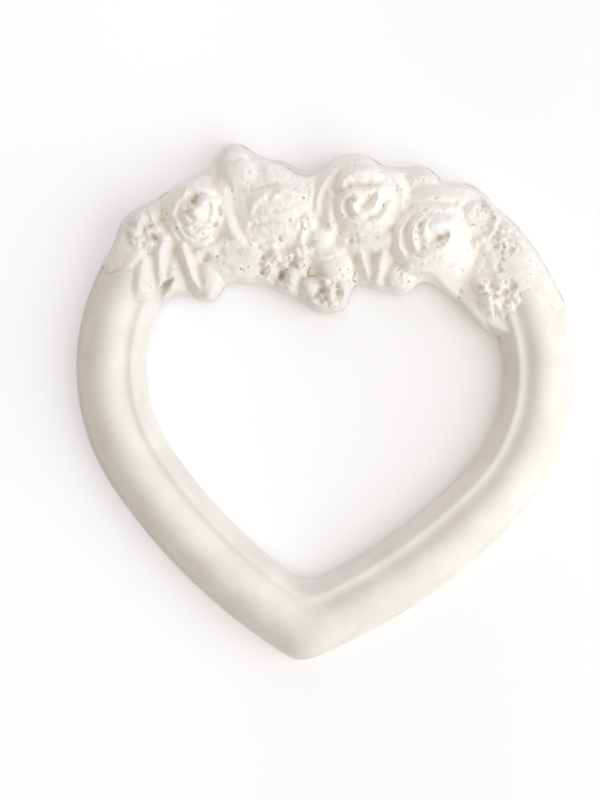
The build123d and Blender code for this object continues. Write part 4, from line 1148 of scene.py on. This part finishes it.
def wear_moulding(bm, c):
    """Sinks the moulding's ends under the garland and gives it a slightly uneven surface."""
    pitting = bm.verts.layers.float["pitting"]
    x, y, z = np.array([v.co[:] for v in bm.verts]).T
    sunk = np.where(z > SUNK_LEAST, np.maximum(z - sinking(x, y, c), SUNK_LEAST), z)
    sunk += np.where(z > UNEVEN_TOP, lumps(x, y, RIM_LUMPS) + lumps(x, y, RIM_GRAIN), 0)
    side = lumps(x, y + 2 * z, SIDE_LUMPS)
    for v, height, push in zip(bm.verts, sunk, side):
        v.co.z = height
        v[pitting] = RIM_PITTING
        if height > UNEVEN_SIDE:
            v.co.x += push
            v.co.y += push


def make_moulding(c):
    """Models the moulding and its bead, from the garland round to the heart's tip and back."""
    reach = c["limb_radius"] - c["lobe_radius"]
    turn = c["limb_angle"]
    lobe = Vector((c["lobe_x"], c["lobe_y"], 0))
    limb = Vector((c["lobe_x"] - reach * math.cos(turn), c["lobe_y"] + reach * math.sin(turn), 0))
    bm = bmesh.new()
    bm.verts.layers.float.new("pitting")
    spin_half(bm, c, limb, lobe)
    half = bm.verts[:] + bm.edges[:] + bm.faces[:]
    bmesh.ops.bisect_plane(
        bm, geom=half, dist=1e-5, plane_co=(0, 0, 0), plane_no=(1, 0, 0), clear_inner=True)
    bmesh.ops.mirror(bm, geom=bm.verts[:] + bm.edges[:] + bm.faces[:], axis="X", merge_dist=1e-3)
    bmesh.ops.recalc_face_normals(bm, faces=bm.faces)
    round_tip(bm, c, limb)
    wear_moulding(bm, c)
    for face in bm.faces:
        face.smooth = True
    for edge in bm.edges:
        sharp = len(edge.link_faces) == 2 and edge.calc_face_angle() > SHARP_FROM
        if sharp and max(v.co.z for v in edge.verts) < SHARP_BELOW:
            edge.smooth = False
    return bm


def make_ground(bm, c):
    """Raises the ground between the sprigs, with a rebate in its back."""
    g = garland()
    bare = g["owner"] == 0
    moulded = g["z"] < g["rim"] + BARE_NEAR
    outer_side = g["low_gap"] > g["within"] + OUTER_SIDE
    outer = (g["rim"] < BARE_LOW) & (g["y"] > BARE_LEVEL) & outer_side
    over_moulding = lobe_angle(g["x"], g["y"], c) < c["rim_end"] - BARE_MARGIN
    cells = g["held"] & ~(bare & over_moulding & (moulded | outer))
    shown = neighbours(bare, 1) > 0
    top = np.where(shown, g["z"], np.minimum(COVERED_TOP, g["z"] - COVERED_DROP))
    bottom = np.where(g["low_gap"] < c["rebate_ledge"], c["rebate_depth"], 0.0)
    relief_slab(bm, cells, np.maximum(top, LEAST_GROUND), bottom, GROUND_INSET)


def make_sprigs(kind):
    """Raises the sprigs of one kind from the garland's surface, each as a piece of its own."""
    g = garland()
    for number, name in enumerate(SPRIGS, 1):
        if name.split("_")[0] != kind:
            continue
        mask = (g["owner"] == number) & g["held"]
        if mask.sum() < FEWEST_CELLS:
            raise RuntimeError(f"the sprig {name} has no surface of its own")
        low = max(0.0, min(SPRIG_BASE, float(g["z"][mask].min()) - SPRIG_DEPTH))
        bm = bmesh.new()
        relief_slab(bm, mask, g["z"], np.full(g["z"].shape, low))
        finish_piece(bm, name)


# Pinholes: how close they lie, their width and the share of places that have one, and where their edge runs
PINHOLES = ((1.0, 0.085, 0.45), (2.3, 0.10, 0.35))
PINHOLE_EDGE = (0.5, 1.6)

# Part of the noise over which the darker patches fade into the plaster
PATCH_START, PATCH_END = 0.38, 0.62


class Nodes:
    """Lays shader nodes and joins them."""

    def __init__(self, name):
        self.material = bpy.data.materials.new(name)
        self.material.use_nodes = True
        self.tree = self.material.node_tree
        self.tree.nodes.clear()

    def lay(self, kind, **values):
        """Lays a node; each value goes to the socket of that name, joined to it or set on it."""
        node = self.tree.nodes.new(kind)
        for name, value in values.items():
            self.put(node.inputs[name.replace("_", " ")], value)
        return node

    def put(self, entry, value):
        """Joins a socket to an input or sets a constant on it."""
        if isinstance(value, bpy.types.NodeSocket):
            self.tree.links.new(value, entry)
        else:
            entry.default_value = value

    def reckon(self, operation, first, second):
        """Works out a value from two others."""
        node = self.lay("ShaderNodeMath")
        node.operation = operation
        self.put(node.inputs[0], first)
        self.put(node.inputs[1], second)
        return node.outputs["Value"]

    def measure(self, name):
        """Reads a measure that a piece carries at its vertices."""
        node = self.lay("ShaderNodeAttribute")
        node.attribute_name = name
        return node.outputs["Fac"]

    def spread(self, value, **ends):
        """Spreads a value smoothly between two ends."""
        node = self.lay("ShaderNodeMapRange", Value=value, **ends)
        node.interpolation_type = "SMOOTHSTEP"
        return node.outputs["Result"]

    def tinted(self, base, colour, amount):
        """Mixes a colour over another one by an amount that varies over the surface."""
        mix = self.lay("ShaderNodeMix")
        mix.data_type = "RGBA"
        self.put(mix.inputs["Factor"], amount)
        colours = [s for s in mix.inputs if s.type == "RGBA"]
        self.put(colours[0], base)
        self.put(colours[1], (*colour, 1))
        return next(s for s in mix.outputs if s.type == "RGBA")


@functools.cache
def plaster():
    """Mixes the plaster: a dry warm white with patches, grain and pinholes, with painted light on the sprigs
    and painted shade in the hollows and pinholes.
    """
    look = bpy.context.scene.heart_plaster
    nodes = Nodes("cast_plaster")
    where = nodes.lay("ShaderNodeTexCoord").outputs["Object"]
    patches = nodes.lay("ShaderNodeTexNoise", Vector=where, Scale=90.0, Detail=4.0)
    stained = nodes.lay("ShaderNodeValToRGB", Fac=patches.outputs["Fac"])
    ends = ((PATCH_START, look.stain), (PATCH_END, look.colour))
    for element, (position, shade) in zip(stained.color_ramp.elements, ends):
        element.position = position
        element.color = (*shade, 1)
    # Painted light lightens the sprigs, and painted shade darkens and warms the hollows and pits
    lightened = nodes.tinted(stained.outputs["Color"], look.painted_light_colour, nodes.measure("fair"))
    hollow_shaded = nodes.tinted(lightened, look.hollow_shade_colour, nodes.measure("hollow"))
    pinholes = nodes.reckon("MULTIPLY", pinhole_pattern(nodes, where, look), nodes.measure("pitting"))
    grain = nodes.lay(
        "ShaderNodeTexNoise", Vector=where, Scale=1 / look.grain_size, Detail=5.0, Roughness=0.62)
    rough = nodes.lay(
        "ShaderNodeBump", Strength=0.35, Distance=look.grain_depth, Height=grain.outputs["Fac"])
    pits = nodes.lay(
        "ShaderNodeBump", Strength=0.8, Distance=look.pinhole_depth, Height=pinholes,
        Normal=rough.outputs["Normal"])
    pits.invert = True
    # Painted shade: the pinholes' dark colour goes into the base colour, besides their bump
    skin = nodes.lay(
        "ShaderNodeBsdfPrincipled", Roughness=look.roughness, Specular_IOR_Level=0.25,
        Base_Color=nodes.tinted(hollow_shaded, look.pinhole_shade_colour, pinholes), Normal=pits.outputs["Normal"])
    nodes.lay("ShaderNodeOutputMaterial", Surface=skin.outputs["BSDF"])
    return nodes.material


def pinhole_pattern(nodes, where, look):
    """Scatters air pinholes of two sizes."""
    holes = []
    for closeness, width, kept in PINHOLES:
        cells = nodes.lay("ShaderNodeTexVoronoi", Vector=where, Scale=closeness / look.pinhole_spacing)
        inner, outer = width * PINHOLE_EDGE[0], width * PINHOLE_EDGE[1]
        ends = {"From_Min": inner, "From_Max": outer, "To_Min": 1.0, "To_Max": 0.0}
        dip = nodes.spread(cells.outputs["Distance"], **ends)
        split = nodes.lay("ShaderNodeSeparateColor", Color=cells.outputs["Color"])
        holes.append(nodes.reckon("MULTIPLY", dip, nodes.reckon("LESS_THAN", split.outputs["Red"], kept)))
    return nodes.reckon("MAXIMUM", *holes)


class HEART_OT_casting(Operator):
    """Models the heart moulding, its bead and the ground of the garland"""

    bl_idname = "heart_frame.casting"
    bl_label = "Frame Casting"

    def execute(self, context):
        c = casting()
        bm = bmesh.new()
        make_ground(bm, c)
        rim = make_moulding(c)
        shape = bpy.data.meshes.new("moulding")
        rim.to_mesh(shape)
        rim.free()
        bm.from_mesh(shape)
        bpy.data.meshes.remove(shape)
        finish_piece(bm, "heart_frame")
        return {"FINISHED"}


class HEART_OT_roses(Operator):
    """Models the four roses of the garland"""

    bl_idname = "heart_frame.roses"
    bl_label = "Roses"

    def execute(self, context):
        make_sprigs("rose")
        return {"FINISHED"}


class HEART_OT_blossoms(Operator):
    """Models the small blossoms"""

    bl_idname = "heart_frame.blossoms"
    bl_label = "Blossoms"

    def execute(self, context):
        make_sprigs("blossom")
        return {"FINISHED"}


class HEART_OT_bud(Operator):
    """Models the bud below the fourth rose"""

    bl_idname = "heart_frame.bud"
    bl_label = "Bud"

    def execute(self, context):
        make_sprigs("bud")
        return {"FINISHED"}


class HEART_OT_leaves(Operator):
    """Models the leaves"""

    bl_idname = "heart_frame.leaves"
    bl_label = "Leaves"

    def execute(self, context):
        make_sprigs("leaf")
        return {"FINISHED"}


class HEART_OT_petals(Operator):
    """Models the loose petals between the roses"""

    bl_idname = "heart_frame.petals"
    bl_label = "Loose Petals"

    def execute(self, context):
        make_sprigs("petal")
        return {"FINISHED"}


def floor_material(studio):
    """Mixes the floor: pale for the light, and lifted to white for the camera with the shadow kept; its
    colours as seen change across it, as painted light that evens out the lamp's fall-off and paints the
    shadow warmer on the lamp's side.
    """
    nodes = Nodes("pale_floor")
    ground = nodes.lay("ShaderNodeBsdfDiffuse", Color=(*studio.floor_colour, 1))
    where = nodes.lay("ShaderNodeTexCoord").outputs["Object"]
    apart = nodes.lay("ShaderNodeSeparateXYZ", Vector=where)
    # Painted light: the camera's floor colours change from the far side to the lamp's side
    across = nodes.spread(apart.outputs["X"], From_Min=studio.far_side, From_Max=studio.near_side)
    seen_colour = nodes.tinted((*studio.floor_seen, 1), studio.floor_seen_near, across)
    lift_colour = nodes.tinted((*studio.floor_lift, 1), studio.floor_lift_near, across)
    both = nodes.lay("ShaderNodeAddShader")
    nodes.put(both.inputs[0], nodes.lay("ShaderNodeBsdfDiffuse", Color=seen_colour).outputs["BSDF"])
    nodes.put(both.inputs[1], nodes.lay("ShaderNodeEmission", Color=lift_colour).outputs["Emission"])
    path = nodes.lay("ShaderNodeLightPath").outputs
    shown = nodes.reckon("MAXIMUM", path["Is Camera Ray"], path["Is Glossy Ray"])
    shown = nodes.reckon("MAXIMUM", shown, path["Is Transmission Ray"])
    choose = nodes.lay("ShaderNodeMixShader", Fac=shown)
    nodes.put(choose.inputs[1], ground.outputs["BSDF"])
    nodes.put(choose.inputs[2], both.outputs["Shader"])
    nodes.lay("ShaderNodeOutputMaterial", Surface=choose.outputs["Shader"])
    return nodes.material


def lay_floor(scene, studio):
    """Lays the floor under the frame."""
    bm = bmesh.new()
    bmesh.ops.create_grid(bm, x_segments=1, y_segments=1, size=studio.floor_size / 2)
    mesh = bpy.data.meshes.new("floor")
    bm.to_mesh(mesh)
    bm.free()
    mesh.materials.append(floor_material(studio))
    floor = bpy.data.objects.new("floor", mesh)
    scene.collection.objects.link(floor)


def hang_lamp(scene, name, turn, rise, strength, shade):
    """Hangs a square soft lamp that faces the frame."""
    studio = scene.heart_studio
    lamp = bpy.data.lights.new(name, "AREA")
    lamp.shape = "SQUARE"
    lamp.size = studio.lamp_size
    lamp.color = shade
    lamp.energy = strength * math.pi ** 2 * studio.lamp_distance ** 2
    softbox = bpy.data.objects.new(name, lamp)
    scene.collection.objects.link(softbox)
    heading = Vector((math.cos(rise) * math.cos(turn), math.cos(rise) * math.sin(turn), math.sin(rise)))
    softbox.location = heading * studio.lamp_distance
    softbox.rotation_euler = heading.to_track_quat("Z", "Y").to_euler()


def light_room(scene, studio):
    """Lights the frame from all round, from the lamp's side and, cooler, from behind the top."""
    world = bpy.data.worlds.new("studio")
    world.use_nodes = True
    sky = world.node_tree.nodes["Background"]
    sky.inputs["Color"].default_value = (*studio.sky_colour, 1)
    sky.inputs["Strength"].default_value = studio.sky_share
    scene.world = world
    hang_lamp(scene, "softbox", studio.lamp_turn, studio.lamp_rise, studio.lamp_share, studio.lamp_colour)
    hang_lamp(
        scene, "cool_softbox", studio.cool_turn, studio.cool_rise, studio.cool_share, studio.cool_colour)


def set_camera(scene, studio):
    """Sets the camera above the frame."""
    lens = bpy.data.cameras.new("camera")
    lens.lens = studio.lens
    lens.sensor_width = 36.0
    camera = bpy.data.objects.new("camera", lens)
    scene.collection.objects.link(camera)
    camera.location = (studio.camera_x, studio.camera_y, studio.camera_height)
    camera.rotation_euler = (0, 0, studio.camera_turn)
    scene.camera = camera


class HEART_OT_studio(Operator):
    """Sets up the floor, the lamps and the camera"""

    bl_idname = "heart_frame.studio"
    bl_label = "Studio"

    def execute(self, context):
        scene = context.scene
        scene.view_settings.view_transform = "Standard"
        lay_floor(scene, scene.heart_studio)
        light_room(scene, scene.heart_studio)
        set_camera(scene, scene.heart_studio)
        return {"FINISHED"}


class HEART_PT_panel(Panel):
    """Lists the pieces of the heart frame"""

    bl_idname = "HEART_PT_panel"
    bl_label = "Heart Frame"
    bl_space_type = "VIEW_3D"
    bl_region_type = "UI"
    bl_category = "Heart Frame"

    def draw(self, context):
        scene = context.scene
        for operator in OPERATORS:
            self.layout.operator(operator.bl_idname)
        for settings in (scene.heart_casting, scene.heart_plaster, scene.heart_studio):
            box = self.layout.box()
            for key in settings.__annotations__:
                box.prop(settings, key)


OPERATORS = (
    HEART_OT_casting, HEART_OT_roses, HEART_OT_blossoms, HEART_OT_bud, HEART_OT_leaves, HEART_OT_petals,
    HEART_OT_studio,
)
CLASSES = (CastingSizes, PlasterLook, StudioSizes, *OPERATORS, HEART_PT_panel)


def register():
    for cls in CLASSES:
        bpy.utils.register_class(cls)
    bpy.types.Scene.heart_casting = PointerProperty(type=CastingSizes)
    bpy.types.Scene.heart_plaster = PointerProperty(type=PlasterLook)
    bpy.types.Scene.heart_studio = PointerProperty(type=StudioSizes)


def unregister():
    del bpy.types.Scene.heart_casting, bpy.types.Scene.heart_plaster, bpy.types.Scene.heart_studio
    for cls in CLASSES:
        bpy.utils.unregister_class(cls)


def main():
    register()
    bpy.ops.heart_frame.casting()
    bpy.ops.heart_frame.roses()
    bpy.ops.heart_frame.blossoms()
    bpy.ops.heart_frame.bud()
    bpy.ops.heart_frame.leaves()
    bpy.ops.heart_frame.petals()
    bpy.ops.heart_frame.studio()


if __name__ == "__main__":
    main()
